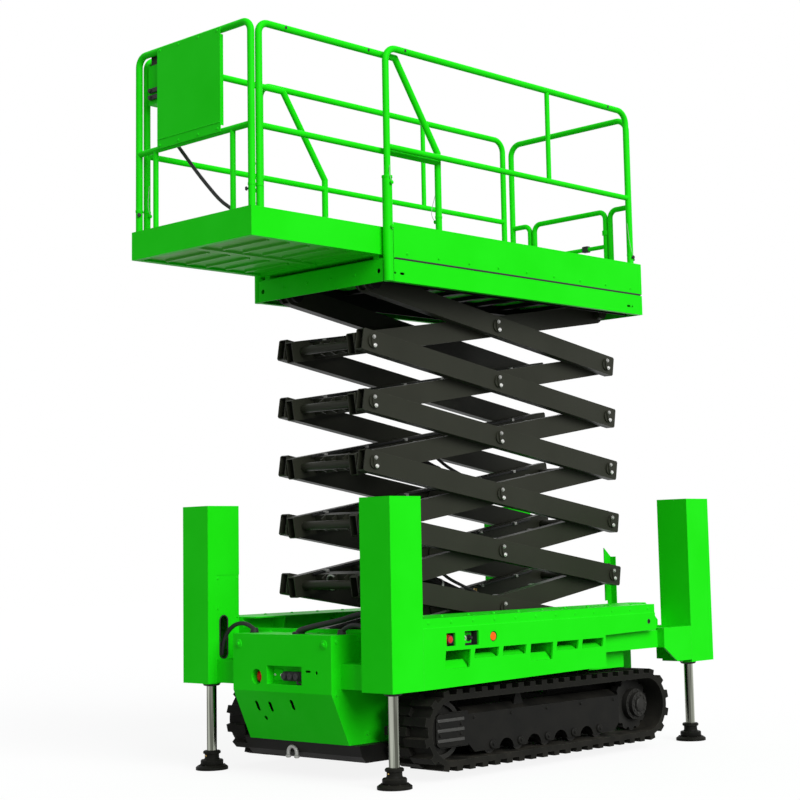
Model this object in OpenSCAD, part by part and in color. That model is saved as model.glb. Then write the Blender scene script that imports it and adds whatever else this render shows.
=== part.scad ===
// Tracked scissor lift with four outriggers and a roll-out deck.
// Millimetres, +X forward, +Y to the machine's left, +Z up, ground at Z = 0.

/* [Platform] */
// Length of the main deck
deck_len = 2270; // [1900:10:3000]
// Width of the main deck
deck_w = 1120; // [900:10:1200]
// Distance of the deck's front edge ahead of the chassis centre
deck_front = 1092; // [1080:1:1200]
// Height of the deck's perimeter frame
deck_frame_h = 122; // [115:1:180]
// Thickness of the deck floor plate
floor_t = 8; // [4:1:16]
// Height of the kick boards above the floor
toe_h = 197; // [120:1:240]
// Sheet thickness of frames and kick boards
sheet_t = 5; // [3:0.5:8]
// Height of the top rail above the floor
rail_h = 1188; // [1000:1:1300]
// Height of the mid rail above the floor
rail_mid_h = 623; // [480:1:680]
// Outside diameter of the main rail tubes
rail_d = 38; // [30:1:44]
// Outside diameter of the short posts and mid rails
rail_post_d = 34; // [26:1:36]
// Bend radius of the rail corners, to the tube's middle
rail_bend = 80; // [60:1:120]
// Outside diameter of the front corner sockets, less their wall
socket_d = 50; // [44:1:50]
// Height of the sockets above the floor
socket_h = 454; // [200:1:460]
// Width of the rear entry between the stub hoops
gate_gap = 690; // [560:5:760]
// Height of the rear hoops and gate above the floor
gate_h = 577; // [480:1:620]

/* [Roll-out deck] */
// Reach of the roll-out deck beyond the main deck
ext_reach = 912; // [700:1:1000]
// Length of the roll-out deck floor
ext_len = 1524; // [1400:1:1700]
// Width of the roll-out deck
ext_w = 1014; // [800:2:1014]
// Height of the roll-out deck's underside above the main floor
ext_lift = 19; // [10:1:40]
// Thickness of the roll-out floor
ext_floor_t = 24; // [16:1:40]
// Depth of the panels pressed into the roll-out floor's underside
panel_dip = 12; // [4:1:14]
// Height of the roll-out kick boards above the roll-out floor
ext_toe_h = 131; // [80:1:200]
// Drop of the roll-out rails below the main rails
ext_drop = 30; // [10:1:60]
// Diameter of the control cable
cable_d = 20; // [14:1:24]

/* [Scissor stack] */
// Length of an arm between its end pins
arm_len = 2090; // [1900:1:2120]
// Number of stages
stages = 6; // [6]
// Height gained by one stage as it stands
stage_rise = 333; // [200:1:600]
// Distance of the front pins ahead of the chassis centre
front_x = 1018; // [980:1:1020]
// Height of the lowest pins above the ground
pivot_z = 690; // [680:1:740]
// Height of an arm section
arm_h = 120; // [90:1:124]
// Width of an arm section
arm_t = 60; // [40:1:70]
// Wall thickness of an arm section
arm_wall = 6; // [4:0.5:10]
// Distance of the outer arms' outside faces from the middle
arm_y = 355; // [320:1:380]
// Gap between inner and outer arms
arm_gap = 8; // [6:1:16]
// Length of an arm beyond its end pin
arm_over = 75; // [62:1:78]
// Corner cut at an arm's end
arm_cut = 8; // [4:1:30]
// Diameter of the stack pins
pin_d = 50; // [36:1:60]
// Diameter of the guide rollers at the stack's sliding ends
roller_d = 76; // [60:1:90]

/* [Lift cylinders] */
// Distance of the barrel pin from the front end pin
cyl_a = 1250; // [1150:1:1300]
// Distance of the rod pin from the front end pin
cyl_b = 550; // [500:1:600]
// Outside diameter of a barrel
barrel_d = 80; // [60:1:90]
// Wall thickness of a barrel
barrel_wall = 9; // [6:0.5:12]
// Length of a barrel from its pin to its gland
barrel_len = 612; // [600:1:620]
// Diameter of a cylinder rod
cyl_rod_d = 45; // [30:1:50]
// Length of a cylinder rod behind its pin
cyl_rod_len = 618; // [610:1:622]

/* [Chassis] */
// Half width of the chassis tub
tub_y = 600; // [560:1:615]
// Height of the tub's upper edge above the ground
tub_top = 850; // [800:1:900]
// Height of the tub floor's upper face above the ground
tub_floor = 578; // [560:1:582]
// Height of the side panels' fold above the ground
fold_z = 800; // [780:1:830]
// Thickness of the side panels
band_t = 12; // [8:1:20]
// Setback of the side panels' upper lip
lip_set = 4; // [2:0.5:6]
// Distance of the side panels' rear edge behind the chassis centre
band_rear = 811; // [700:1:900]
// Height of the side panels' lower edge there
band_low = 700; // [690:1:740]
// Distance of the lower skirt's rear edge behind the chassis centre
skirt_rear = 331; // [300:1:500]
// Number of openings in a side panel
win_count = 6; // [3:1:6]
// Spacing of the openings
win_pitch = 225; // [205:1:230]
// Length of an opening
win_len = 190; // [120:1:195]
// Height of an opening
win_h = 50; // [30:1:60]
// Plate thickness of the chassis
plate_t = 8; // [6:1:12]
// Distance of the nose from the inner faces of the tracks
nose_gap = 105; // [80:1:140]
// Distance of the nose face ahead of the front posts' middle
nose_ahead = 117; // [100:1:160]
// Height of the nose's upper edge above the ground
nose_top = 770; // [700:1:780]
// Height of the nose's fold above the ground
nose_fold = 465; // [420:1:480]
// Height of the belly above the ground
belly_z = 195; // [170:1:230]
// Setback of the nose's lower edge
nose_rake = 120; // [60:1:160]

/* [Outriggers] */
// Distance of the posts' middle beyond the track's ends
post_gap = 158; // [158:1:200]
// Distance of the posts from the middle, crosswise
post_y = 738; // [738:1:800]
// Width of a square post
post_s = 226; // [180:1:226]
// Height of a post's lower end above the ground
post_z = 486; // [480:1:520]
// Length of a post
post_h = 996; // [900:1:1100]
// Wall thickness of a post
post_wall = 8; // [5:1:12]
// Width of the hose slot in a post
slot_w = 56; // [30:1:70]
// Length of the hose slot between its round ends
slot_len = 184; // [100:1:200]
// Height of the hose slot's lower end centre above the post's end
slot_z = 164; // [150:1:200]
// Diameter of a leg rod
leg_d = 57; // [40:1:70]
// Length of a leg rod
leg_len = 790; // [760:1:860]
// Diameter of a foot
foot_d = 182; // [140:1:200]
// Thickness of a foot plate
foot_t = 24; // [14:1:36]

/* [Tracks] */
// Distance of the track's middle from the machine's middle
track_y = 655; // [640:1:680]
// Width of a track belt
track_w = 300; // [260:2:310]
// Distance between the end wheels' axles
track_base = 1680; // [1500:1:1700]
// Distance of the track's middle ahead of the chassis centre
track_x = 75; // [40:1:80]
// Height of the axles above the ground
axle_z = 260; // [256:1:266]
// Outer radius of the belt at its ends, over the lugs
track_r = 210; // [190:1:210]
// Height of a lug
lug_h = 25; // [12:1:30]
// Thickness of the belt under the lugs
belt_t = 30; // [20:1:36]
// Number of lug pairs round a belt
lug_count = 46; // [30:2:60]
// Length of a lug along the belt
lug_len = 44; // [20:1:46]
// Number of track rollers on a side
roller_count = 5; // [3:1:6]
// Diameter of a track roller
track_roller_d = 90; // [70:1:100]
// Number of teeth on a drive sprocket
tooth_count = 14; // [10:1:18]

/* [Fits] */
// Radial clearance of a running pin
pin_fit = 0.1; // [0.05:0.01:0.1]
// Clearance under a roller or slide pad
slide_fit = 0.3; // [0.2:0.05:1]
// Gap between neighbouring welded or bolted parts
joint_gap = 0.5; // [0.2:0.1:0.8]

/* [Hidden] */
$fn = 48;
eps = 0.02;
// Chassis places that follow from the tracks and posts
post_x = track_x + track_base / 2 + track_r + post_gap;
nose_x = post_x + nose_ahead;
nose_y = track_y - track_w / 2 - nose_gap;
tub_x = post_x - post_s / 2 - joint_gap;
side_y = post_y + post_s / 2;
post_in = post_y - post_s / 2;
skirt_low = max(post_z, axle_z + track_r + 16);
win_front = tub_x - 155;
win_z = tub_floor + 50;
beam_z0 = win_z - 40;
beam_z1 = band_low - 10;
link_z1 = post_z + 134;
rake_a = atan(nose_rake / (nose_fold - belly_z));
// Overall reach, and the shift that puts the origin under the middle
front_reach = deck_front + ext_reach;
rear_reach = post_x + post_s / 2;
base_x = (rear_reach - front_reach) / 2;
// Stack angle and deck heights
th = asin(stage_rise / arm_len);
top_pivot = pivot_z + stages * stage_rise;
deck_z = top_pivot - 25;
deck_top = deck_z + deck_frame_h;
floor_z = deck_top + floor_t;
deck_rear = deck_front - deck_len;
hw = deck_w / 2;
ext_front = deck_front + ext_reach;
ext_rear = ext_front - ext_len;
ext_z = floor_z + ext_lift;
ext_floor = ext_z + ext_floor_t;
ext_hw = ext_w / 2;
// Rail places
ext_socket_d = rail_d + 8;
gate_set = 40;
rail_y = hw - sheet_t - rail_d / 2 - 2;
ext_rail_y = ext_hw - ext_socket_d / 2 - sheet_t - 1;
rail_z = floor_z + rail_h;
rail_mid_z = floor_z + rail_mid_h;
ext_rail_z = rail_z - ext_drop;
ext_mid_z = rail_mid_z - ext_drop / 2;
rear_frame_x = deck_rear + rail_d / 2 + 8;
side_rear_x = rear_frame_x + rail_d + 12;
side_front_x = deck_front - rail_d / 2 - 13;
ext_frame_x = ext_front - ext_socket_d / 2 - sheet_t - 1;
ext_post_x = ext_frame_x - ext_socket_d - 6;
ext_back_x = ext_rear + 120;
corner_x = side_front_x + 10;
corner_y = rail_y + 8;
corner_d = socket_d + 10;
// Stack sections
arm_in0 = arm_y - 2 * arm_t - arm_gap;
arm_in1 = arm_in0 + arm_t;
arm_out0 = arm_y - arm_t;
cap_y = arm_y + 8;
cap_d = pin_d + 26;
cap_t = 6;
bore_d = pin_d + 2 * pin_fit;
guide_z = roller_d / 2 + slide_fit;
guide_w = 52;
guide_end = front_x - arm_len * 0.6;
roller_w = 40;
// Cylinder pins in the arms' own frames, and the cylinder's length and angle as it stands
cyl_aw = -35;
cyl_bw = -10;
cyl_pin_d = 30;
eye_y = 33;
cyl_ax = -cyl_a * cos(th) + cyl_aw * sin(th);
cyl_az = cyl_a * sin(th) + cyl_aw * cos(th);
cyl_bx = -cyl_b * cos(th) + cyl_bw * sin(th);
cyl_bz = cyl_b * sin(th) + cyl_bw * cos(th) + stage_rise;
cyl_len = norm([cyl_bx - cyl_ax, cyl_bz - cyl_az]);
cyl_ang = atan2(cyl_bz - cyl_az, cyl_bx - cyl_ax);
// Belt loop
belt_r = track_r - lug_h;
belt_in = belt_r - belt_t;
straight = track_base;
loop_len = 2 * straight + 2 * PI * belt_r;
sprocket_x = track_x - track_base / 2;
idler_x = track_x + track_base / 2;
wheel_r = belt_in - 0.5;
// Track frame: half width of its beam, cheek thickness and the beam's ends and heights
beam_w = 85;
cheek_t = 18;
frame_x0 = sprocket_x + 215;
frame_x1 = idler_x - 165;
roller_z = axle_z - wheel_r + track_roller_d / 2;
roller_pitch = (frame_x1 - frame_x0 - 150) / roller_count;
roller_x0 = (frame_x0 + frame_x1 - (roller_count - 1) * roller_pitch) / 2;
carrier_d = 50;
carrier_x = (frame_x0 + frame_x1) / 2 + 190;
carrier_z = axle_z + wheel_r - carrier_d / 2;
// Control box and its cable, from its gland under the box to the gland in the floor
box_x0 = ext_frame_x - rail_d / 2 - 120;
box_x1 = ext_frame_x - rail_d / 2;
box_z0 = ext_rail_z - 280;
box_z1 = ext_rail_z - 60;
gland_h = 40;
cable_x = (box_x0 + box_x1) / 2;
cable_rise = 755;
cable_scale = (box_z0 - ext_floor - 2 * gland_h) / cable_rise;
cable_sides = 10;
cable_last = 23;
cable_route = [[-330, 755], [-330, 715], [-327, 675], [-317, 640], [-298, 610], [-272, 583], [-240, 550],
  [-205, 513], [-170, 476], [-135, 439], [-100, 402], [-65, 366], [-30, 331], [5, 297], [40, 264],
  [75, 231], [112, 199], [150, 170], [190, 145], [230, 120], [266, 92], [296, 62], [318, 32], [330, 0]];
// Places of the ground controls on the left side: stop button, switch panel and lamp.
stop_x = tub_x - 206;
switch_x = tub_x - 366;
side_lamp_x = tub_x - 538;
ctrl_z = 735;
stop_s = 68;
switch_w = 108;
switch_h = 76;
side_lamp_d = 56;

green = [0.13, 0.75, 0.1];
dark = [0.16, 0.16, 0.14];
black = [0.07, 0.07, 0.07];
chrome = [0.75, 0.76, 0.78];
steel = [0.45, 0.46, 0.47];

// Box between two corners.
module span(a, b) {
  translate(a) cube(b - a);
}

// Copies on both sides of the middle.
module both() {
  children();
  mirror([0, 1, 0]) children();
}

// Rod along Y between two values.
module rod_y(d, y0, y1) {
  translate([0, y1, 0]) rotate([90, 0, 0]) cylinder(d = d, h = y1 - y0);
}

// Rod along X between two values.
module rod_x(d, x0, x1) {
  translate([x0, 0, 0]) rotate([0, 90, 0]) cylinder(d = d, h = x1 - x0);
}

// Plate drawn in X and Z, between two distances from the middle.
module side_plate(y0, y1) {
  translate([0, y1, 0]) rotate([90, 0, 0]) linear_extrude(y1 - y0) children();
}

// Plate drawn in Y and Z, between two places along X.
module cross_plate(x0, x1) {
  translate([x0, 0, 0]) rotate([90, 0, 90]) linear_extrude(x1 - x0) children();
}

// Straight tube between two points.
module bar(p, q, d) {
  v = q - p;
  l = norm(v);
  translate(p) rotate([0, acos(v[2] / l), atan2(v[1], v[0])]) cylinder(d = d, h = l);
}

// Quarter bend in the plane of X and Z, from straight up to straight along +X.
module elbow(r, d) {
  translate([r, 0, 0]) rotate([90, 0, 0]) rotate([0, 0, 90]) rotate_extrude(angle = 90)
    translate([r, 0]) circle(d = d);
}

// Arch in the plane of X and Z: two legs, two bends and a top bar.
module arch(x0, x1, z0, z1, r, d) {
  translate([x0, 0, z0]) cylinder(d = d, h = z1 - r - z0);
  translate([x1, 0, z0]) cylinder(d = d, h = z1 - r - z0);
  translate([x0, 0, z1 - r]) elbow(r, d);
  translate([x1, 0, z1 - r]) mirror([1, 0, 0]) elbow(r, d);
  bar([x0 + r, 0, z1], [x1 - r, 0, z1], d);
}

// Turns a shape drawn in X and Z into one in Y and Z.
module crosswise() {
  rotate([0, 0, 90]) children();
}

// Socket with a collar that a rail post folds from.
module socket(d, h) {
  collar_h = 12;
  cylinder(d = d - 4, h = h);
  translate([0, 0, h - collar_h]) cylinder(d = d, h = collar_h);
}

// Places a child in an inner arm's own frame, origin at its front pin.
module at_inner(k) {
  translate([front_x, 0, pivot_z + (k - 1) * stage_rise]) rotate([0, th, 0]) children();
}

// Places a child in an outer arm's own frame, origin at its front pin.
module at_outer(k) {
  translate([front_x, 0, pivot_z + k * stage_rise]) rotate([0, -th, 0]) children();
}

// Side view of an arm with cut corners, reaching beyond its end pins.
module arm_shape(front, back) {
  h = arm_h / 2;
  c = arm_cut;
  rear = -arm_len - back;
  polygon([[rear + c, -h], [front - c, -h], [front, -h + c], [front, h - c], [front - c, h],
    [rear + c, h], [rear, h - c], [rear, -h + c]]);
}

// One arm of box section, open at its ends, between two distances from the middle.
module arm_box(y0, y1, front = arm_over, back = arm_over) {
  w = arm_wall;
  difference() {
    union() {
      side_plate(y0, y1) arm_shape(front, back);
      if (front < arm_over) rod_y(arm_h, y0, y1);
      if (back < arm_over) translate([-arm_len, 0, 0]) rod_y(arm_h, y0, y1);
    }
    span([-arm_len - arm_over - 1, y0 + w, -arm_h / 2 + w], [arm_over + 1, y1 - w, arm_h / 2 - w]);
  }
}

// Pair of inner arms with shafts, cross members and cylinder brackets.
module inner_pair(k, barrel, rod) {
  tube_u = -cyl_b + 160;
  tail_u = -cyl_a - 90;
  reach = arm_in0 + eps;
  color(dark) at_inner(k) {
    both() arm_box(arm_in0, arm_in1, arm_over, k == stages ? arm_cut : arm_over);
    front_end = k == 1 ? arm_in1 + 48 : cap_y - 2;
    rod_y(pin_d, -front_end, front_end);
    rear_end = k == stages ? arm_in1 + 56 : cap_y - 2;
    translate([-arm_len, 0, 0]) rod_y(pin_d, -rear_end, rear_end);
    both() translate([-arm_len / 2, 0, 0]) {
      rod_y(pin_d, arm_in0 - 12, cap_y - 2);
      rod_y(cap_d, cap_y - cap_t, cap_y);
      rod_y(cap_d, arm_in0 - 14, arm_in0 + eps);
    }
    if (k > 1) both() rod_y(cap_d, cap_y - cap_t, cap_y);
    if (k < stages) both() translate([-arm_len, 0, 0]) rod_y(cap_d, cap_y - cap_t, cap_y);
    if (k == stages) both() translate([-arm_len, 0, 0])
      rod_y(roller_d, arm_in1 + 12, arm_in1 + 12 + roller_w);
    front_beam(reach);
    translate([tail_u, 0, -25]) rod_y(60, -reach, reach);
    translate([tube_u, 0, 20]) rod_y(50, -reach, reach);
    if (barrel) barrel_bracket(tail_u);
    if (rod) rod_bracket(tube_u);
  }
}

// Box beam between the arms behind their front pins, with stiffening ribs ahead of it.
module front_beam(reach) {
  u0 = -175;
  u1 = -85;
  h = 45;
  span([u0, -reach, -h], [u1, reach, h]);
  for (y = [-0.6, -0.2, 0.2, 0.6]) side_plate(y * reach - 4, y * reach + 4)
    polygon([[u1 - eps, -h], [u1 + 34, -h + 16], [u1 + 34, h - 16], [u1 - eps, h]]);
}

// Two ears that hold a barrel's pin under the arms.
module barrel_bracket(tail_u) {
  y0 = 32;
  y1 = 44;
  both() {
    side_plate(y0, y1) polygon([[tail_u, -54], [-cyl_a, cyl_aw - 28], [-cyl_a, cyl_aw + 28], [tail_u, 4]]);
    translate([-cyl_a, 0, cyl_aw]) rod_y(56, y0, y1);
  }
  translate([-cyl_a, 0, cyl_aw]) rod_y(cyl_pin_d, -y1, y1);
}

// Two ears beside a rod's eye.
module rod_bracket(tube_u) {
  y0 = eye_y + 7;
  y1 = y0 + 12;
  both() side_plate(y0, y1) polygon([[-cyl_b - 34, cyl_bw - 14], [-cyl_b - 20, cyl_bw - 30],
    [-cyl_b + 40, cyl_bw - 30], [tube_u + 20, -4], [tube_u + 20, 44], [-cyl_b + 30, 44],
      [-cyl_b - 34, cyl_bw + 22]]);
}

// Pair of outer arms with bored bosses.
module outer_pair(k) {
  color(dark) at_outer(k) both() {
    difference() {
      union() {
        arm_box(arm_out0, arm_y, k == stages ? arm_cut : arm_over);
        for (u = [0, -arm_len / 2, -arm_len]) translate([u, 0, 0]) rod_y(pin_d + 30, arm_out0, arm_y);
      }
      for (u = [0, -arm_len / 2]) translate([u, 0, 0]) rod_y(bore_d, arm_out0 - 1, arm_y + 1);
      if (k > 1) translate([-arm_len, 0, 0]) rod_y(bore_d, arm_out0 - 1, arm_y + 1);
    }
    if (k == 1) translate([-arm_len, 0, 0]) {
      rod_y(pin_d, arm_out0 + 5, arm_y + 18 + roller_w);
      rod_y(roller_d, arm_y + 12, arm_y + 12 + roller_w);
    }
  }
}

// Places a child along a lift cylinder, origin at its barrel pin, +X toward the rod.
module at_cylinder(k) {
  z = pivot_z + (k - 1) * stage_rise + cyl_az;
  translate([front_x + cyl_ax, 0, z]) rotate([0, -cyl_ang, 0]) children();
}

module lift_barrel(k) {
  tail_y = 26;
  gland = 40;
  port_d = 26;
  color(black) at_cylinder(k) difference() {
    union() {
      rod_y(74, -tail_y, tail_y);
      rod_x(barrel_d, 0, barrel_len);
      rod_x(barrel_d + 8, barrel_len - gland, barrel_len);
      rod_x(barrel_d + 6, 66, 84);
      for (u = [104, barrel_len - 66]) translate([u, 0, 0]) cylinder(d = port_d, h = barrel_d / 2 + 14);
    }
    rod_y(cyl_pin_d + 2 * pin_fit, -barrel_d, barrel_d);
    rod_x(barrel_d - 2 * barrel_wall, 48, barrel_len - gland);
    rod_x(cyl_rod_d + 2 * pin_fit, 60, barrel_len + 1);
    both() span([-barrel_d, tail_y, -barrel_d], [60, barrel_d, barrel_d]);
  }
}

module lift_rod(k) {
  color(chrome) at_cylinder(k) {
    rod_x(cyl_rod_d, cyl_len - cyl_rod_len, cyl_len);
    translate([cyl_len, 0, 0]) rod_y(60, -eye_y, eye_y);
  }
}

module chassis() {
  w = plate_t;
  drain_d = 60;
  lug_t = 30;
  lug_r = 60;
  lug_y = arm_in1 + 12;
  guide_y = arm_y + 6;
  flange = 120;
  rear_top = tub_top - 110;
  color(green) {
    difference() {
      span([-tub_x, -tub_y, tub_floor - w], [tub_x, tub_y, tub_floor]);
      for (x = [-0.6, 0, 0.6]) both() translate([x * tub_x, tub_y * 0.8, tub_floor - 2 * w])
        cylinder(d = drain_d, h = 3 * w);
    }
    both() {
      side_plate(tub_y - w, tub_y) polygon([[-tub_x, tub_floor - w], [tub_x, tub_floor - w],
        [tub_x, tub_top],
        [-tub_x + flange, tub_top], [-tub_x, rear_top]]);
      span([-tub_x + flange, tub_y - flange, tub_top - w], [tub_x, tub_y, tub_top]);
      for (x = [-0.8, -0.4, 0, 0.4, 0.8]) cross_plate(x * tub_x, x * tub_x + w)
        polygon([[tub_y - flange + 10, tub_top - w + eps], [tub_y - w + eps, tub_top - w + eps],
          [tub_y - w + eps, tub_floor - eps], [tub_y - 40, tub_floor - eps]]);
      difference() {
        union() {
          span([front_x - lug_r, lug_y, tub_floor - w], [front_x + lug_r, lug_y + lug_t, pivot_z]);
          translate([front_x, 0, pivot_z]) rod_y(2 * lug_r, lug_y, lug_y + lug_t);
        }
        translate([front_x, 0, pivot_z]) rod_y(bore_d, lug_y - 1, lug_y + lug_t + 1);
      }
      span([-tub_x, guide_y, tub_floor - w], [guide_end, guide_y + guide_w, pivot_z - guide_z]);
      span([tub_x - 60, tub_y - w, skirt_low], [tub_x, side_y - band_t, tub_top - w]);
      span([tub_x - eps, nose_y + joint_gap, post_z + 4], [post_x + 50, post_in - joint_gap, link_z1]);
      rear_bracket();
    }
    span([-tub_x, -tub_y, tub_floor - w], [-tub_x + w, tub_y, rear_top]);
    span([tub_x - w, -tub_y, tub_floor - w], [tub_x, tub_y, tub_top - 60]);
    tail_tank();
  }
}

// Beam and flush gusset plate that carry a rear outrigger post.
module rear_bracket() {
  y1 = side_y - 51;
  x0 = -tub_x;
  x1 = -tub_x + 276;
  z0 = post_z + 14;
  z1 = band_low + 4;
  w = plate_t;
  span([x0, tub_y - w, beam_z0], [-skirt_rear - joint_gap, y1, beam_z1]);
  span([-skirt_rear - 330, y1 - 90, skirt_low], [-skirt_rear - joint_gap, y1 - 90 + w, beam_z0 + eps]);
  side_plate(side_y - band_t, side_y)
    polygon([[x0, z0], [x0 + 148, z0], [x1, beam_z0], [x1, z1], [x0, z1]]);
  span([x0, y1 - w, z1 - w], [x1, side_y - eps, z1]);
  span([x1 - w, y1 - w, beam_z0], [x1, side_y - eps, z1]);
  span([x0, tub_y - w, z0], [x0 + 14, side_y - eps, z1]);
}

// Closed tank under the tub's rear end, with louvres in its back.
module tail_tank() {
  half = nose_y - 20;
  x0 = -tub_x;
  x1 = x0 + 440;
  top = tub_floor - plate_t + eps;
  low = belly_z + 20;
  louvre = 30;
  difference() {
    side_plate(-half, half) polygon([[x0, top], [x0, low + 125], [x0 + 90, low], [x1, low], [x1, top]]);
    for (i = [0 : 4]) span([x0 - 1, -half + 60, low + 150 + i * louvre],
      [x0 + 10, half - 60, low + 162 + i * louvre]);
  }
}

// Outline of the nose in side view, shrunk by a sheet's thickness.
module nose_shape(t) {
  x0 = tub_x + (t > 0 ? -1 : joint_gap);
  x1 = tub_x - 440 - (t > 0 ? 1 : 0);
  under = tub_floor - plate_t - joint_gap - t;
  low = nose_x - nose_rake - t;
  polygon([[x0, nose_top - t], [nose_x - t, nose_top - t], [nose_x - t, nose_fold + t * 0.2],
    [low, belly_z + t],
    [x1, belly_z + t], [x1, under], [x0, under]]);
}

module nose_cover() {
  t = sheet_t;
  tray = 60;
  tray_y0 = -116;
  tray_y1 = 166;
  tray_z0 = 505;
  tray_z1 = 604;
  lamp_y = -202;
  lamp_z = 541;
  lamp_d = 84;
  rim = 10;
  slot_d = 28;
  color(green) difference() {
    union() {
      side_plate(-nose_y, nose_y) difference() {
        nose_shape(0);
        nose_shape(t);
      }
      both() side_plate(nose_y - t, nose_y) nose_shape(0);
      span([nose_x - tray, tray_y0 - rim, tray_z0 - rim], [nose_x - eps, tray_y1 + rim, tray_z1 + rim]);
      translate([0, lamp_y, lamp_z]) rod_x(lamp_d + rim, nose_x - tray, nose_x - eps);
    }
    span([nose_x - tray + rim, tray_y0, tray_z0], [nose_x + 1, tray_y1, tray_z1]);
    translate([0, lamp_y, lamp_z]) rod_x(lamp_d, nose_x - tray + rim, nose_x + 1);
    translate([0, tray_y1 + 66, tray_z1 - 24]) {
      for (y = [-30, 0]) translate([0, y, 0]) rod_x(12, nose_x - 2 * t, nose_x + 1);
      span([nose_x - 2 * t, -30, -6], [nose_x + 1, 0, 6]);
      translate([0, 52, -6]) rod_x(20, nose_x - 2 * t, nose_x + 1);
    }
    translate([nose_x, 0, nose_fold]) rotate([0, rake_a, 0]) {
      for (p = [[-240, -93], [-130, -93], [55, -75]]) translate([0, p[0], p[1]]) {
        for (z = [-18, 18]) translate([0, 0, z]) rod_x(slot_d, -2 * t, 2 * t);
        span([-2 * t, -slot_d / 2, -18], [2 * t, slot_d / 2, 18]);
      }
      translate([0, -205, -165]) rod_x(slot_d, -2 * t, 2 * t);
    }
  }
}

// One opening in a side panel, deeper where it is a pocket.
module window(deep) {
  slant = 12;
  low = deep ? 44 : 0;
  side_plate(side_y - band_t - 1, side_y + 1)
    polygon([[0, win_z - low], [-slant, win_z + win_h], [-slant - win_len, win_z + win_h],
      [-win_len, win_z - low]]);
}

// Side panel with its fold, openings and stays.
module side_panel() {
  y0 = side_y - band_t;
  rise = 26;
  stay = 8;
  difference() {
    union() {
      side_plate(y0, side_y) polygon([[tub_x, skirt_low], [tub_x, fold_z], [-band_rear, fold_z],
        [-band_rear, band_low],
        [-skirt_rear, beam_z1], [-skirt_rear, skirt_low + rise]]);
      span([-band_rear, y0, fold_z - 1], [tub_x, side_y - lip_set, tub_top]);
    }
    for (i = [0 : win_count - 1]) translate([win_front - i * win_pitch, 0, 0]) window(i % 3 == 0);
    translate([-band_rear + 64, 0, tub_top - 100]) rod_y(30, y0 - 1, side_y + 1);
  }
  span([-band_rear, tub_y, tub_top - plate_t], [tub_x, y0 + 1, tub_top]);
  for (i = [0 : win_count]) translate([win_front + (win_pitch - win_len) / 2 - stay - i * win_pitch, 0, 0])
    cross_plate(0, stay) polygon([[tub_y, tub_floor], [y0 + 1, win_z - 60],
      [y0 + 1, tub_top - plate_t + eps],
      [tub_y, tub_top - plate_t + eps]]);
}

// The openings for the ground controls.
module control_openings(y0, y1) {
  translate([stop_x, 0, ctrl_z]) span([-stop_s / 2, y0, -stop_s / 2], [stop_s / 2, y1, stop_s / 2]);
  translate([switch_x, 0, ctrl_z]) span([-switch_w / 2, y0, -switch_h / 2],
    [switch_w / 2, y1, switch_h / 2]);
  translate([side_lamp_x, 0, ctrl_z]) rod_y(side_lamp_d, y0, y1);
}

// Block of the case behind the ground controls, grown by a gap.
module control_case(gap) {
  y1 = side_y - band_t;
  rim = 16 + gap;
  span([side_lamp_x - side_lamp_d - gap, y1 - 70 - gap, ctrl_z - switch_h / 2 - rim],
    [stop_x + stop_s + gap, y1, ctrl_z + switch_h / 2 + rim / 2]);
}

module skirts() {
  color(green) difference() {
    both() side_panel();
    control_openings(side_y - band_t - 1, side_y + 1);
    control_case(2 * joint_gap);
  }
}

module ground_controls() {
  floor_y = side_y - band_t - 40;
  proud = side_y - 3;
  color(black) {
    difference() {
      control_case(0);
      control_openings(floor_y, side_y);
    }
    translate([stop_x, 0, ctrl_z]) {
      rod_y(58, floor_y - 1, floor_y + 10);
      rod_y(30, floor_y, floor_y + 24);
      rod_y(44, floor_y + 23, proud);
    }
    translate([switch_x + 26, 0, ctrl_z]) rod_y(26, floor_y - 1, floor_y + 20);
    translate([switch_x - 22, 0, ctrl_z]) rod_y(18, floor_y - 1, floor_y + 26);
    translate([side_lamp_x, 0, ctrl_z]) rod_y(side_lamp_d - 8, floor_y - 1, proud);
  }
}

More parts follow.
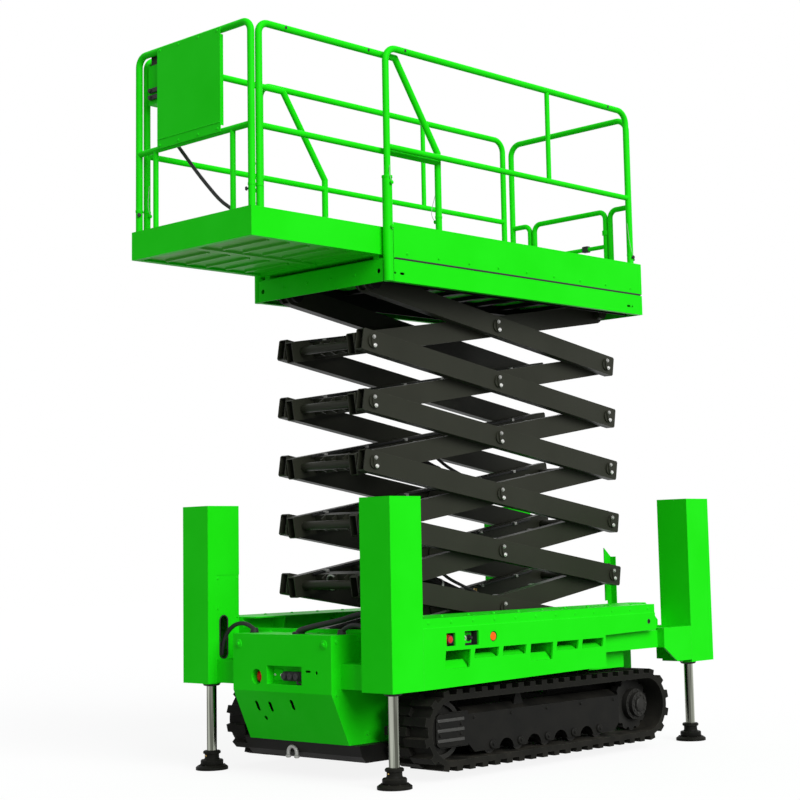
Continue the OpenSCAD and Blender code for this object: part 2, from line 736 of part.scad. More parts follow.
// One track frame: roofed beam, scalloped cheeks, idler fork, ribbed end cover and drive bracket.
module track_frame() {
  low = axle_z - 50;
  shoulder = axle_z + 70;
  roof = axle_z + 102;
  cheek_low = roller_z - 22;
  cover = 13;
  translate([0, track_y, 0]) {
    cross_plate(frame_x0, frame_x1) polygon([[-beam_w, low], [beam_w, low], [beam_w, shoulder], [30, roof],
      [-30, roof], [-beam_w, shoulder]]);
    for (s = [0, 1]) mirror([0, s, 0]) {
      side_plate(beam_w - eps, beam_w + cheek_t) difference() {
        polygon([[frame_x0, cheek_low + 50], [frame_x0 + 50, cheek_low], [frame_x1 - 50, cheek_low],
          [frame_x1, cheek_low + 50], [frame_x1, shoulder], [frame_x0, shoulder]]);
        for (i = [0 : roller_count - 2]) translate([roller_x0 + (i + 0.5) * roller_pitch, cheek_low - 10])
          circle(d = 120);
      }
      span([frame_x1 - 10, 66, axle_z - 40], [idler_x + 36, 90, axle_z + 40]);
    }
    side_plate(beam_w + 5, beam_w + 5 + cover) polygon([[frame_x1 - 1, axle_z - 92],
      [idler_x + 45, axle_z - 92],
      [idler_x + 115, axle_z - 50], [idler_x + 132, axle_z], [idler_x + 115, axle_z + 50],
        [idler_x + 45, axle_z + 90],
      [frame_x1 - 1, axle_z + 90]]);
    for (i = [0 : 2]) span([frame_x1 + 80 + i * 62, beam_w + 4 + cover, axle_z - 70],
      [frame_x1 + 102 + i * 62, beam_w + 11 + cover, axle_z + 70]);
    span([sprocket_x - 30, -117, axle_z - 60], [frame_x0 + 25, -87, axle_z + 60]);
    for (y = [-57, 47]) side_plate(y, y + 10) polygon([[carrier_x - 45, shoulder],
      [carrier_x + 45, shoulder],
      [carrier_x + 18, carrier_z + 18], [carrier_x - 18, carrier_z + 18]]);
  }
}

// Belly beam under the nose, with a tow ring.
module belly() {
  x1 = nose_x - nose_rake - 15;
  half = nose_y + 60;
  ring_r = 34;
  ring_d = 18;
  side_plate(-half, half) polygon([[x1 - 330, belly_z - 92], [x1 - 50, belly_z - 92],
    [x1 - 20, belly_z - 60],
    [x1, belly_z], [x1 - 330, belly_z]]);
  translate([x1 - 12, -80, belly_z - 66]) rotate([90, 0, 90]) {
    rotate_extrude(angle = 180) translate([ring_r, 0]) circle(d = ring_d);
    for (s = [-1, 1]) translate([s * ring_r, 0, 0]) rotate([90, 0, 0]) cylinder(d = ring_d, h = 16);
  }
}

module undercarriage() {
  half = track_y - beam_w - cheek_t + 1;
  color(black) {
    both() track_frame();
    for (x = [frame_x0 + 70, frame_x1 - 320]) {
      span([x - 70, -half, axle_z - 40], [x + 70, half, axle_z + 70]);
      both() cross_plate(x - 60, x + 60) polygon([[280, axle_z + 69], [440, axle_z + 69],
        [400, tub_floor - plate_t],
        [320, tub_floor - plate_t]]);
    }
    belly();
  }
}

// Solid of a loop between two distances from the middle.
module loop3(r, y0, y1) {
  for (s = [-1, 1]) translate([s * track_base / 2, 0, 0]) rod_y(2 * r, y0, y1);
  span([-track_base / 2, y0, -r], [track_base / 2, y1, r]);
}

// Puts a child on the belt's outer face at a distance round the loop.
module on_loop(s) {
  arc = PI * belt_r;
  if (s < straight) translate([-straight / 2 + s, 0, belt_r]) children();
  else if (s < straight + arc) translate([straight / 2, 0, 0])
    rotate([0, (s - straight) / belt_r * 180 / PI, 0])
    translate([0, 0, belt_r]) children();
  else if (s < 2 * straight + arc) translate([straight / 2 - (s - straight - arc), 0, -belt_r])
    rotate([0, 180, 0]) children();
  else translate([-straight / 2, 0, 0]) rotate([0, 180 + (s - 2 * straight - arc) / belt_r * 180 / PI, 0])
    translate([0, 0, belt_r]) children();
}

module track_belts() {
  y0 = track_y - track_w / 2;
  y1 = track_y + track_w / 2;
  pitch = loop_len / lug_count;
  color(black) both() translate([track_x, 0, axle_z]) {
    difference() {
      loop3(belt_r, y0, y1);
      loop3(belt_in, y0 - 1, y1 + 1);
    }
    for (i = [0 : lug_count - 1]) {
      on_loop(i * pitch) span([-lug_len / 2, y0, -6], [lug_len / 2, track_y + 12, lug_h]);
      on_loop((i + 0.5) * pitch) span([-lug_len / 2, track_y - 12, -6], [lug_len / 2, y1, lug_h]);
    }
  }
}

// Drive sprocket with a stepped hub.
module sprocket() {
  notch_d = 34;
  difference() {
    rod_y(2 * wheel_r, -24, 24);
    for (i = [0 : tooth_count - 1]) rotate([0, i * 360 / tooth_count, 0]) translate([wheel_r + 2, 0, 0])
      rod_y(notch_d, -25, 25);
  }
  rod_y(180, -87, 62);
  rod_y(140, 61, 90);
  rod_y(86, 89, 98);
}

// Front idler with recessed sides.
module idler() {
  difference() {
    rod_y(2 * wheel_r, -60, 60);
    for (s = [0, 1]) mirror([0, s, 0]) difference() {
      rod_y(2 * wheel_r - 50, 38, 61);
      rod_y(110, 37, 62);
    }
  }
  rod_y(70, -66, 66);
}

// Track roller with two rims and a waist.
module track_roller() {
  rod_y(track_roller_d, -80, -42);
  rod_y(track_roller_d, 42, 80);
  rod_y(track_roller_d - 24, -43, 43);
  rod_y(40, -beam_w + joint_gap, beam_w - joint_gap);
}

module track_wheels() {
  color(steel) both() translate([0, track_y, 0]) {
    translate([sprocket_x, 0, axle_z]) sprocket();
    translate([idler_x, 0, axle_z]) idler();
    for (i = [0 : roller_count - 1]) translate([roller_x0 + i * roller_pitch, 0, roller_z]) track_roller();
    translate([carrier_x, 0, carrier_z]) rod_y(carrier_d, -47, 47);
  }
}

module power_unit() {
  half = nose_y - 60;
  x0 = tub_x - 400;
  x1 = tub_x + 40;
  z0 = belly_z + sheet_t;
  color(steel) {
    span([x0, -half, z0], [x1, half, z0 + 180]);
    span([x0 + 60, -half + 40, z0 + 179], [x1 - 40, half - 40, tub_floor - plate_t - 40]);
    for (i = [0 : 8]) span([x1 - 1, -half + 30 + i * 80, z0 + 20],
      [x1 + 18, -half + 42 + i * 80, z0 + 160]);
  }
}

// Square post with its hose slot, shallow cover and rod collar.
module post() {
  h = post_s / 2;
  collar = 10;
  cover_dip = 3;
  difference() {
    union() {
      span([-h, -h, 0], [h, h, post_h]);
      translate([0, 0, -collar]) cylinder(d = leg_d + 44, h = collar + 1);
    }
    span([-h + post_wall, -h + post_wall, 20], [h - post_wall, h - post_wall, post_h - post_wall]);
    translate([0, 0, -collar - 1]) cylinder(d = leg_d + 2 * pin_fit, h = 40);
    for (z = [slot_z, slot_z + slot_len]) translate([0, 0, z]) rod_y(slot_w, -h - 1, -h + post_wall + 1);
    span([-slot_w / 2, -h - 1, slot_z], [slot_w / 2, -h + post_wall + 1, slot_z + slot_len]);
    span([-h - 1, -h - 1, link_z1 - post_z + 6], [h - 60, -h + cover_dip, post_h * 0.606]);
  }
}

module posts() {
  color(green) for (s = [-1, 1]) both() translate([s * post_x, post_y, post_z]) post();
}

// Hoses from the outrigger posts: arcs over the nose in front, quarter bends to the tub behind.
module leg_lines() {
  d = 24;
  r = 180;
  seat = 14;
  y = post_in - 160;
  z = nose_top - 130;
  turn = 180 - asin((nose_top + seat - z) / r);
  low = post_z + slot_z + 40;
  in = 20;
  color(black) both() {
    translate([post_x, y, z]) rotate([90, 0, 90]) rotate_extrude(angle = turn) translate([r, 0])
      circle(d = d);
    translate([post_x, y + r * cos(turn), nose_top]) cylinder(d1 = 50, d2 = 40, h = seat + 12);
    translate([-tub_x, post_in, low]) rotate([0, 0, 180]) rotate_extrude(angle = 90)
      translate([post_x - tub_x, 0]) circle(d = d);
    bar([-post_x, post_in - eps, low], [-post_x, post_in + in, low], d);
  }
}

module leg_rod(sx, sy) {
  color(chrome) translate([sx * post_x, sy * post_y, foot_t + 46]) cylinder(d = leg_d, h = leg_len);
}

// Foot: disc with a bevelled rim, a tapered socket and a collar round the rod.
module foot(sx, sy) {
  rim = foot_t * 0.6;
  cone = 42;
  neck = 24;
  color(steel) translate([sx * post_x, sy * post_y, 0]) difference() {
    union() {
      cylinder(d = foot_d, h = rim);
      translate([0, 0, rim - eps]) cylinder(d1 = foot_d, d2 = foot_d - 26, h = foot_t - rim);
      translate([0, 0, foot_t - 2 * eps]) cylinder(d1 = foot_d * 0.68, d2 = leg_d + 24, h = cone);
      translate([0, 0, foot_t + cone - 1]) cylinder(d = leg_d + 24, h = neck);
      translate([0, 0, foot_t + cone + neck - 2]) cylinder(d = leg_d + 38, h = 14);
    }
    translate([0, 0, foot_t + 46]) cylinder(d = leg_d + 2 * pin_fit, h = 2 * cone);
  }
}

// Single bent upright on the tub's rear wall, with a slanted top.
module rear_upright() {
  x1 = -tub_x;
  x0 = x1 - 40;
  y0 = 206;
  y1 = 253;
  z0 = tub_floor;
  z1 = tub_top + 340;
  front = x1 + 26;
  step = tub_top + 6;
  slant = 56;
  t = sheet_t + 1;
  color(green) {
    side_plate(y0, y0 + t)
      polygon([[x0, z0], [x1, z0], [x1, step], [front, step], [front, z1], [x0, z1 - slant]]);
    span([x0, y0, z0], [x0 + t, y1, z1 - slant]);
  }
}

module deck() {
  t = sheet_t;
  x0 = deck_rear;
  x1 = deck_front;
  fold = 32;
  low = deck_z + 46;
  color(green) difference() {
    union() {
      difference() {
        span([x0, -hw, deck_z], [x1, hw, deck_top]);
        span([x0 + t, -hw + t, deck_z - 1], [x1 - t, hw - t, deck_top - t]);
      }
      span([x0 + 10, -hw + 10, deck_top - eps], [x1 - 10, hw - 10, floor_z]);
      both() span([x0 + t - eps, hw - fold, deck_z], [x1 - t + eps, hw - t + eps, deck_z + t]);
    }
    both() {
      translate([corner_x, corner_y, deck_z - 1])
        cylinder(d = corner_d + 2 * joint_gap, h = floor_z - deck_z + 2);
      translate([0, hw - 74, low + 14]) rod_x(28, x1 - 2 * t, x1 + 1);
      for (x = [x1 - 99, x0 + 104, x0 + 151, x1 - 55]) translate([x, 0, low]) rod_y(14, hw - 2 * t, hw + 1);
      for (x = [x1 - 99, x0 + 151]) span([x - 26, hw - 2 * t, low - 7], [x, hw + 1, low + 7]);
    }
  }
}

// Ear on the deck that holds a front pin.
module top_lug(y0, y1) {
  top = deck_top - sheet_t;
  r = 45;
  side_plate(y0, y1) polygon([[front_x - r - 20, top], [front_x - r, top_pivot], [front_x + r, top_pivot],
    [deck_front - sheet_t, top - 40], [deck_front - sheet_t, top]]);
  translate([front_x, 0, top_pivot]) rod_y(2 * r, y0, y1);
}

module deck_joists() {
  t = sheet_t;
  top = deck_top - t;
  lug_t = 26;
  bar_h = 25;
  bar_w = 40;
  count = 9;
  pitch = (deck_len - 270) / (count - 1);
  color(black) {
    both() {
      span([deck_rear + t, hw - 130, deck_z + 8], [deck_front - t, hw - 130 + t, top]);
      span([deck_rear + t, arm_in1 + 8, top_pivot + guide_z], [guide_end, arm_in1 + 8 + guide_w, top]);
      top_lug(arm_out0 - 6 - lug_t, arm_out0 - 6);
      top_lug(arm_y + 6, arm_y + 6 + lug_t);
      translate([front_x, 0, top_pivot]) rod_y(pin_d, arm_out0 - 10, arm_y + 10);
    }
    for (i = [0 : count - 1]) span([deck_rear + 120 + i * pitch, -hw + t, top - bar_h],
      [deck_rear + 120 + bar_w + i * pitch, hw - t, top]);
  }
}

module kick_boards() {
  t = sheet_t;
  z1 = floor_z + toe_h;
  color(green) both() difference() {
    union() {
      span([deck_rear, hw - t, floor_z], [deck_front, hw, z1]);
      span([deck_rear, hw - 30, floor_z], [deck_front, hw, floor_z + t]);
      span([deck_rear, gate_gap / 2 + 20, floor_z], [deck_rear + t, hw, z1]);
    }
    translate([corner_x, corner_y, floor_z - 1]) cylinder(d = corner_d + 2 * joint_gap, h = toe_h + 2);
  }
}

module side_rails() {
  low = floor_z + sheet_t;
  stay_x = deck_front - 1412;
  color(green) both() {
    translate([0, rail_y, 0]) {
      arch(side_rear_x, side_front_x, low, rail_z, rail_bend, rail_d);
      bar([side_rear_x, 0, rail_mid_z], [side_front_x, 0, rail_mid_z], rail_post_d);
      bar([stay_x, 0, rail_mid_z], [stay_x, 0, rail_z], rail_post_d - 4);
      translate([side_rear_x, 0, low]) socket(rail_d + 2, socket_h * 0.56);
    }
    translate([corner_x, corner_y, deck_z]) socket(corner_d, floor_z - deck_z + socket_h);
  }
}

module rear_rail() {
  y = rail_y - 34;
  s = gate_gap / 2;
  z = floor_z + gate_h;
  r = 50;
  color(green) translate([rear_frame_x, 0, 0]) {
    crosswise() arch(-y, y, floor_z, rail_z - ext_drop, rail_bend, rail_d);
    both() {
      translate([0, y, floor_z]) socket(rail_d + 2, socket_h * 0.56);
      translate([0, s, floor_z]) cylinder(d = rail_post_d, h = z - r - floor_z);
      crosswise() translate([s, 0, z - r]) elbow(r, rail_post_d);
      bar([0, s + r, z], [0, y, z], rail_post_d);
    }
    for (h = [120, 420]) hinge_knuckle(s, floor_z + h);
  }
}

// Knuckle on the left stub post that the gate's upright turns in.
module hinge_knuckle(s, z) {
  h = 30;
  difference() {
    union() {
      translate([0, s - gate_set, z]) cylinder(d = rail_post_d + 14, h = h);
      span([-8, s - gate_set, z], [8, s, z + h]);
    }
    translate([0, s - gate_set, z - 1]) cylinder(d = rail_post_d + 2 * pin_fit, h = h + 2);
  }
}

module gate() {
  y = gate_gap / 2 - gate_set;
  z = floor_z + gate_h;
  color(green) translate([rear_frame_x, 0, 0]) {
    crosswise() arch(-y, y, floor_z + 12, z, 50, rail_post_d);
    bar([0, -y, floor_z + gate_h * 0.6], [0, y, floor_z + gate_h * 0.6], rail_post_d - 6);
    span([-2, -y, floor_z + 14], [2, y, floor_z + 110]);
  }
}

// Pressed panel under one half of the roll-out floor, with its flutes.
module floor_panel() {
  x0 = deck_front + 36;
  x1 = ext_front - 36;
  y0 = 22;
  y1 = ext_hw - 40;
  flutes = 6;
  pitch = (x1 - x0) / flutes;
  difference() {
    span([x0, y0, ext_z - 1], [x1, y1, ext_z + panel_dip]);
    for (i = [1 : flutes - 1]) span([x0 + i * pitch - 9, y0 + 40, ext_z - 2],
      [x0 + i * pitch + 9, y1 - 40, ext_z + panel_dip + 1]);
  }
}

module ext_deck() {
  t = sheet_t;
  color(green) {
    difference() {
      span([ext_rear, -ext_hw, ext_z], [ext_front, ext_hw, ext_floor]);
      both() floor_panel();
    }
    both() {
      span([ext_rear, ext_hw - t, ext_z], [ext_front, ext_hw, ext_floor + ext_toe_h]);
      span([ext_rear, ext_hw - 70, floor_z + slide_fit], [deck_front - 10, ext_hw - 30, ext_z + eps]);
    }
    span([ext_front - t, -ext_hw, ext_z], [ext_front, ext_hw, ext_floor + ext_toe_h]);
  }
}

// Flanged gland in the floor that the cable comes out of.
module floor_gland() {
  flange_d = 60;
  flange_t = 6;
  color(black) translate([cable_x, cable_route[cable_last][0], ext_floor]) {
    cylinder(d = flange_d, h = flange_t);
    cylinder(d1 = 46, d2 = cable_d + 6, h = gland_h);
  }
}

module ext_side_rails() {
  d = rail_d;
  z1 = ext_rail_z;
  zk = ext_mid_z + 55;
  xk = ext_back_x + 330;
  r = 60;
  color(green) both() translate([0, ext_rail_y, 0]) {
    translate([ext_post_x, 0, ext_floor]) cylinder(d = d, h = z1 - r - ext_floor);
    translate([ext_post_x, 0, z1 - r]) mirror([1, 0, 0]) elbow(r, d);
    bar([xk, 0, z1], [ext_post_x - r, 0, z1], d);
    translate([xk, 0, z1]) sphere(d = d + 1);
    bar([ext_back_x, 0, zk], [xk, 0, z1], d);
    translate([ext_back_x, 0, zk]) sphere(d = d + 1);
    translate([ext_back_x, 0, ext_floor]) cylinder(d = d, h = zk - ext_floor);
    bar([ext_back_x, 0, ext_mid_z], [ext_post_x, 0, ext_mid_z], rail_post_d);
    for (x = [ext_back_x, ext_post_x])
      translate([x, 0, ext_floor]) socket(ext_socket_d - 4, socket_h * 0.56);
  }
}

module ext_front_rail() {
  y = ext_rail_y;
  color(green) translate([ext_frame_x, 0, 0]) {
    crosswise() arch(-y, y, ext_floor, ext_rail_z, 60, rail_d);
    bar([0, -y, ext_mid_z], [0, y, ext_mid_z], rail_post_d);
    both() {
      translate([0, y, ext_floor]) socket(ext_socket_d - 4, socket_h * 0.56);
      translate([0, y - 150, ext_floor]) cylinder(d = rail_post_d - 4, h = ext_mid_z - ext_floor);
    }
  }
}

module control_shield() {
  x0 = ext_frame_x + rail_d / 2;
  t = 4;
  y0 = -285;
  y1 = 255;
  lip = 18;
  color(green) {
    span([x0, y0, ext_mid_z - 5], [x0 + t, y1, ext_rail_z + 5]);
    for (y = [y0, y1 - t]) span([x0 - lip, y, ext_mid_z + 30], [x0 + eps, y + t, ext_rail_z - 30]);
  }
}

module control_box() {
  y0 = -420;
  y1 = -160;
  slope = 70;
  cheek = 6;
  lever = 60;
  color(dark) {
    side_plate(y0, y1) polygon([[box_x0, box_z0 + 30], [box_x0 + 30, box_z0], [box_x1, box_z0],
      [box_x1, box_z1],
      [box_x0 + slope, box_z1], [box_x0, box_z1 - slope]]);
    for (y = [y0, y1 - cheek]) side_plate(y, y + cheek) polygon([[box_x0 - 16, box_z1 - slope],
      [box_x0 + slope, box_z1 + 16],
      [box_x1, box_z1 + 16], [box_x1, box_z1 - 20], [box_x0 + 30, box_z1 - slope - 30],
        [box_x0 - 16, box_z1 - slope - 30]]);
    for (y = [-280, -176]) span([box_x1 - eps, y, box_z0 + 40],
      [ext_frame_x + rail_d / 2, y + 8, box_z1 - 30]);
    translate([box_x0 + slope / 2, -240, box_z1 - slope / 2]) rotate([0, -45, 0]) {
      cylinder(d1 = 44, d2 = 22, h = 24);
      cylinder(d = 16, h = lever);
      translate([0, 0, lever]) sphere(d = 30);
    }
    translate([cable_x, cable_route[0][0], box_z0 - gland_h])
      cylinder(d1 = cable_d + 6, d2 = 46, h = gland_h + eps);
  }
}

// Middle of the cable, its heading and its ring of points at a route point.
function cable_at(i) = [cable_x, cable_route[i][0], ext_floor + gland_h + cable_route[i][1] * cable_scale];
function heading(v) = v / norm(v);
function cable_way(i) = i == 0 || i == cable_last ? [0, 0, -1] : heading(cable_at(i + 1) - cable_at(i - 1));
function cable_ring(i) = [for (a = [0 : cable_sides - 1])
  let (w = 360 * a / cable_sides, n = cross(cable_way(i), [1, 0, 0]))
  cable_at(i) + cable_d / 2 * (cos(w) * [1, 0, 0] + sin(w) * n)];

module control_cable() {
  m = cable_sides;
  rings = [for (i = [0 : cable_last]) each cable_ring(i)];
  wall_a = [for (i = [0 : cable_last - 1])
    for (a = [0 : m - 1]) [i * m + a, (i + 1) * m + a, (i + 1) * m + (a + 1) % m]];
  wall_b = [for (i = [0 : cable_last - 1])
    for (a = [0 : m - 1]) [i * m + a, (i + 1) * m + (a + 1) % m, i * m + (a + 1) % m]];
  head = [for (a = [0 : m - 1]) a];
  tail = [for (a = [0 : m - 1]) cable_last * m + m - 1 - a];
  color(black) polyhedron(rings, concat(wall_a, wall_b, [head, tail]));
}

translate([base_x, 0, 0]) chassis();
translate([base_x, 0, 0]) nose_cover();
translate([base_x, 0, 0]) skirts();
translate([base_x, 0, 0]) undercarriage();
translate([base_x, 0, 0]) track_belts();
translate([base_x, 0, 0]) track_wheels();
translate([base_x, 0, 0]) power_unit();
translate([base_x, 0, 0]) posts();
translate([base_x, 0, 0]) rear_upright();
translate([base_x, 0, 0]) ground_controls();
translate([base_x, 0, 0]) leg_lines();
translate([base_x, 0, 0]) leg_rod(1, 1);  // leg_rod_fl
translate([base_x, 0, 0]) leg_rod(1, -1);  // leg_rod_fr
translate([base_x, 0, 0]) leg_rod(-1, 1);  // leg_rod_rl
translate([base_x, 0, 0]) leg_rod(-1, -1);  // leg_rod_rr
translate([base_x, 0, 0]) foot(1, 1);  // foot_fl
translate([base_x, 0, 0]) foot(1, -1);  // foot_fr
translate([base_x, 0, 0]) foot(-1, 1);  // foot_rl
translate([base_x, 0, 0]) foot(-1, -1);  // foot_rr
translate([base_x, 0, 0]) inner_pair(1, true, false);  // inner_arms_1
translate([base_x, 0, 0]) inner_pair(2, false, true);  // inner_arms_2
translate([base_x, 0, 0]) inner_pair(3, true, false);  // inner_arms_3
translate([base_x, 0, 0]) inner_pair(4, false, true);  // inner_arms_4
translate([base_x, 0, 0]) inner_pair(5, false, false);  // inner_arms_5
translate([base_x, 0, 0]) inner_pair(6, false, false);  // inner_arms_6
translate([base_x, 0, 0]) outer_pair(1);  // outer_arms_1
translate([base_x, 0, 0]) outer_pair(2);  // outer_arms_2
translate([base_x, 0, 0]) outer_pair(3);  // outer_arms_3
translate([base_x, 0, 0]) outer_pair(4);  // outer_arms_4
translate([base_x, 0, 0]) outer_pair(5);  // outer_arms_5
translate([base_x, 0, 0]) outer_pair(6);  // outer_arms_6
translate([base_x, 0, 0]) lift_barrel(1);  // lift_barrel_1
translate([base_x, 0, 0]) lift_rod(1);  // lift_rod_1
translate([base_x, 0, 0]) lift_barrel(3);  // lift_barrel_2
translate([base_x, 0, 0]) lift_rod(3);  // lift_rod_2
translate([base_x, 0, 0]) deck();
translate([base_x, 0, 0]) deck_joists();
translate([base_x, 0, 0]) kick_boards();
translate([base_x, 0, 0]) side_rails();
translate([base_x, 0, 0]) rear_rail();
translate([base_x, 0, 0]) gate();
translate([base_x, 0, 0]) ext_deck();
translate([base_x, 0, 0]) ext_side_rails();
translate([base_x, 0, 0]) ext_front_rail();
translate([base_x, 0, 0]) control_shield();
translate([base_x, 0, 0]) control_box();
translate([base_x, 0, 0]) floor_gland();
translate([base_x, 0, 0]) control_cable();
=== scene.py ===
"""Looks of a tracked scissor lift with four outriggers and a roll-out deck, in metres."""
import math

import bmesh
import bpy
from mathutils import Matrix, Vector


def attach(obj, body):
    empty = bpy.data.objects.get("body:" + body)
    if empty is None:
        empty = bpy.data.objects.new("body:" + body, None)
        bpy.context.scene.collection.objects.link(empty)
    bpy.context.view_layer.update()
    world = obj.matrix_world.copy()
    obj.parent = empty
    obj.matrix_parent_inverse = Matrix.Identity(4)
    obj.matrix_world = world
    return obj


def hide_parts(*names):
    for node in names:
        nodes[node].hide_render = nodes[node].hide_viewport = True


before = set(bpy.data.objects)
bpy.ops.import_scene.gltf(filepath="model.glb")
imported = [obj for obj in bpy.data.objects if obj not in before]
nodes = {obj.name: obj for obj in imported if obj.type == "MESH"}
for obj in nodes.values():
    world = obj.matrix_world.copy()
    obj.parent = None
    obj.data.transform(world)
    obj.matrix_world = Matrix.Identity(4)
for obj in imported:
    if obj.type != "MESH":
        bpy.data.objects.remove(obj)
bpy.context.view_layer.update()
scene = bpy.context.scene
scene.view_settings.view_transform = "Standard"

# Shift of the machine's own middle in the shared frame.
MID_X = -0.304


def aim_camera():
    """Low three-quarter view from the left front corner."""
    data = bpy.data.cameras.new("view")
    data.lens = 77.28
    data.sensor_width = 36.0
    data.shift_x = -0.1
    data.shift_y = -0.075
    camera = bpy.data.objects.new("view", data)
    right = Vector((-0.677687, 0.734968, -0.023735))
    down = Vector((-0.07295, -0.099312, -0.992379))
    forward = Vector((-0.731723, -0.670791, 0.120918))
    turn = Matrix((right, -down, -forward)).transposed().to_4x4()
    camera.matrix_world = Matrix.Translation((7.2496, 7.1491, 1.2006)) @ turn
    scene.collection.objects.link(camera)
    scene.camera = camera


aim_camera()


# The control cable's route from the box to the floor, as the solid has it.
CABLE_X = 1.896
CABLE_FLOOR_Z = 2.876
CABLE_D = 0.020
CABLE_ROUTE = [
    (-0.330, 0.755), (-0.330, 0.715), (-0.327, 0.675), (-0.317, 0.640), (-0.298, 0.610), (-0.272, 0.583),
    (-0.240, 0.550), (-0.205, 0.513), (-0.170, 0.476), (-0.135, 0.439), (-0.100, 0.402), (-0.065, 0.366),
    (-0.030, 0.331), (0.005, 0.297), (0.040, 0.264), (0.075, 0.231), (0.112, 0.199), (0.150, 0.170),
    (0.190, 0.145), (0.230, 0.120), (0.266, 0.092), (0.296, 0.062), (0.318, 0.032), (0.330, 0.0)]


def hang_cable():
    """Control cable between the box's gland and the floor's gland."""
    route = [Vector((CABLE_X + MID_X, y, CABLE_FLOOR_Z + h)) for y, h in CABLE_ROUTE]
    data = bpy.data.curves.new("control_cord", "CURVE")
    data.dimensions = "3D"
    # A depth of one leaves the thickness to the points' own radius.
    data.bevel_depth = 1.0
    data.bevel_resolution = 5
    line = data.splines.new("POLY")
    line.points.add(len(route) - 1)
    for point, place in zip(line.points, route):
        point.co = (*place, 1.0)
        point.radius = CABLE_D / 2
    cord = bpy.data.objects.new("control_cord", data)
    scene.collection.objects.link(cord)
    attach(cord, "extension")
    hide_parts("control_cable")
    return cord


control_cord = hang_cable()


# Shader helpers.
class Sheet:
    """A node tree with short calls for adding and joining nodes."""

    def __init__(self, tree):
        self.tree = tree

    def add(self, kind, **values):
        node = self.tree.nodes.new(kind)
        for name, value in values.items():
            setattr(node, name, value)
        return node

    def join(self, source, target):
        self.tree.links.new(source, target)

    def mix(self, fac, a, b, blend="MIX"):
        node = self.add("ShaderNodeMix", data_type="RGBA", blend_type=blend)
        for socket, value in ((node.inputs[0], fac), (node.inputs[6], a), (node.inputs[7], b)):
            self.feed(socket, value)
        return node.outputs[2]

    def math(self, operation, a, b=0.5, clamp=False):
        node = self.add("ShaderNodeMath", operation=operation, use_clamp=clamp)
        self.feed(node.inputs[0], a)
        self.feed(node.inputs[1], b)
        return node.outputs[0]

    def span(self, value, low, high, to_low=0.0, to_high=1.0):
        node = self.add("ShaderNodeMapRange")
        self.feed(node.inputs[0], value)
        for i, number in enumerate((low, high, to_low, to_high)):
            self.feed(node.inputs[i + 1], number)
        return node.outputs[0]

    def noise(self, where, scale, detail):
        node = self.add("ShaderNodeTexNoise")
        for label, value in (("Vector", where), ("Scale", scale), ("Detail", detail)):
            self.feed(node.inputs[label], value)
        return node.outputs["Fac"]

    def feed(self, socket, value):
        if isinstance(value, bpy.types.NodeSocket):
            self.join(value, socket)
        elif socket.type == "RGBA" and len(value) == 3:
            socket.default_value = (*value, 1.0)
        else:
            socket.default_value = value


def new_group(name, inputs, outputs):
    """Shader group with named sockets; returns its sheet and its end nodes."""
    tree = bpy.data.node_groups.new(name, "ShaderNodeTree")
    for label, default in inputs:
        socket = tree.interface.new_socket(label, in_out="INPUT", socket_type="NodeSocketFloat")
        socket.default_value = default
    for label in outputs:
        tree.interface.new_socket(label, in_out="OUTPUT", socket_type="NodeSocketFloat")
    s = Sheet(tree)
    return s, s.add("NodeGroupInput"), s.add("NodeGroupOutput")


def grain_group():
    """Fine orange peel and slow colour drift of a coated or cast surface."""
    s, i, o = new_group("Surface grain", [("Fine scale", 400.0), ("Drift scale", 3.0)], ["Fine", "Drift"])
    where = s.add("ShaderNodeTexCoord").outputs["Object"]
    for label, detail in (("Fine", 2.0), ("Drift", 4.0)):
        s.join(s.noise(where, i.outputs[label + " scale"], detail), o.inputs[label])
    return s.tree


def edge_wear_and_highlight_group():
    """Mask of outer edges, broken up as scuffed paint is; the lighter edge colour it lets in is partly scuffs
    and partly a painted highlight.
    """
    s, i, o = new_group("Edge wear", [("Radius", 0.004), ("Amount", 1.0)], ["Mask"])
    bevel = s.add("ShaderNodeBevel", samples=4)
    s.join(i.outputs["Radius"], bevel.inputs["Radius"])
    plain = s.add("ShaderNodeNewGeometry")
    dot = s.add("ShaderNodeVectorMath", operation="DOT_PRODUCT")
    s.join(bevel.outputs[0], dot.inputs[0])
    s.join(plain.outputs["Normal"], dot.inputs[1])
    turned = s.span(dot.outputs["Value"], 0.995, 0.86)
    where = s.add("ShaderNodeTexCoord").outputs["Object"]
    broken = s.span(s.noise(where, 60.0, 3.0), 0.4, 0.62)
    scuffed_and_lit = s.math("MULTIPLY", s.math("MULTIPLY", turned, broken), i.outputs["Amount"], clamp=True)
    s.join(scuffed_and_lit, o.inputs["Mask"])
    return s.tree


def dust_group():
    """Mask of dust that lies on upward faces and near the ground."""
    s, i, o = new_group("Dust", [("On top", 0.5), ("Near ground", 0.5), ("Ground height", 0.6)], ["Mask"])
    normal = s.add("ShaderNodeSeparateXYZ")
    s.join(s.add("ShaderNodeNewGeometry").outputs["Normal"], normal.inputs[0])
    place = s.add("ShaderNodeSeparateXYZ")
    where = s.add("ShaderNodeTexCoord").outputs["Object"]
    s.join(where, place.inputs[0])
    cloud = s.span(s.noise(where, 9.0, 6.0), 0.35, 0.75)
    upward = s.math("MULTIPLY", s.span(normal.outputs[2], 0.5, 1.0), i.outputs["On top"])
    ground = s.span(place.outputs[2], i.outputs["Ground height"], 0.0)
    low = s.math("MULTIPLY", ground, i.outputs["Near ground"])
    s.join(s.math("MULTIPLY", s.math("ADD", upward, low, clamp=True), cloud), o.inputs["Mask"])
    return s.tree


GRAIN = grain_group()
EDGES = edge_wear_and_highlight_group()
DUST = dust_group()
DUST_COLOUR = (0.36, 0.32, 0.25)


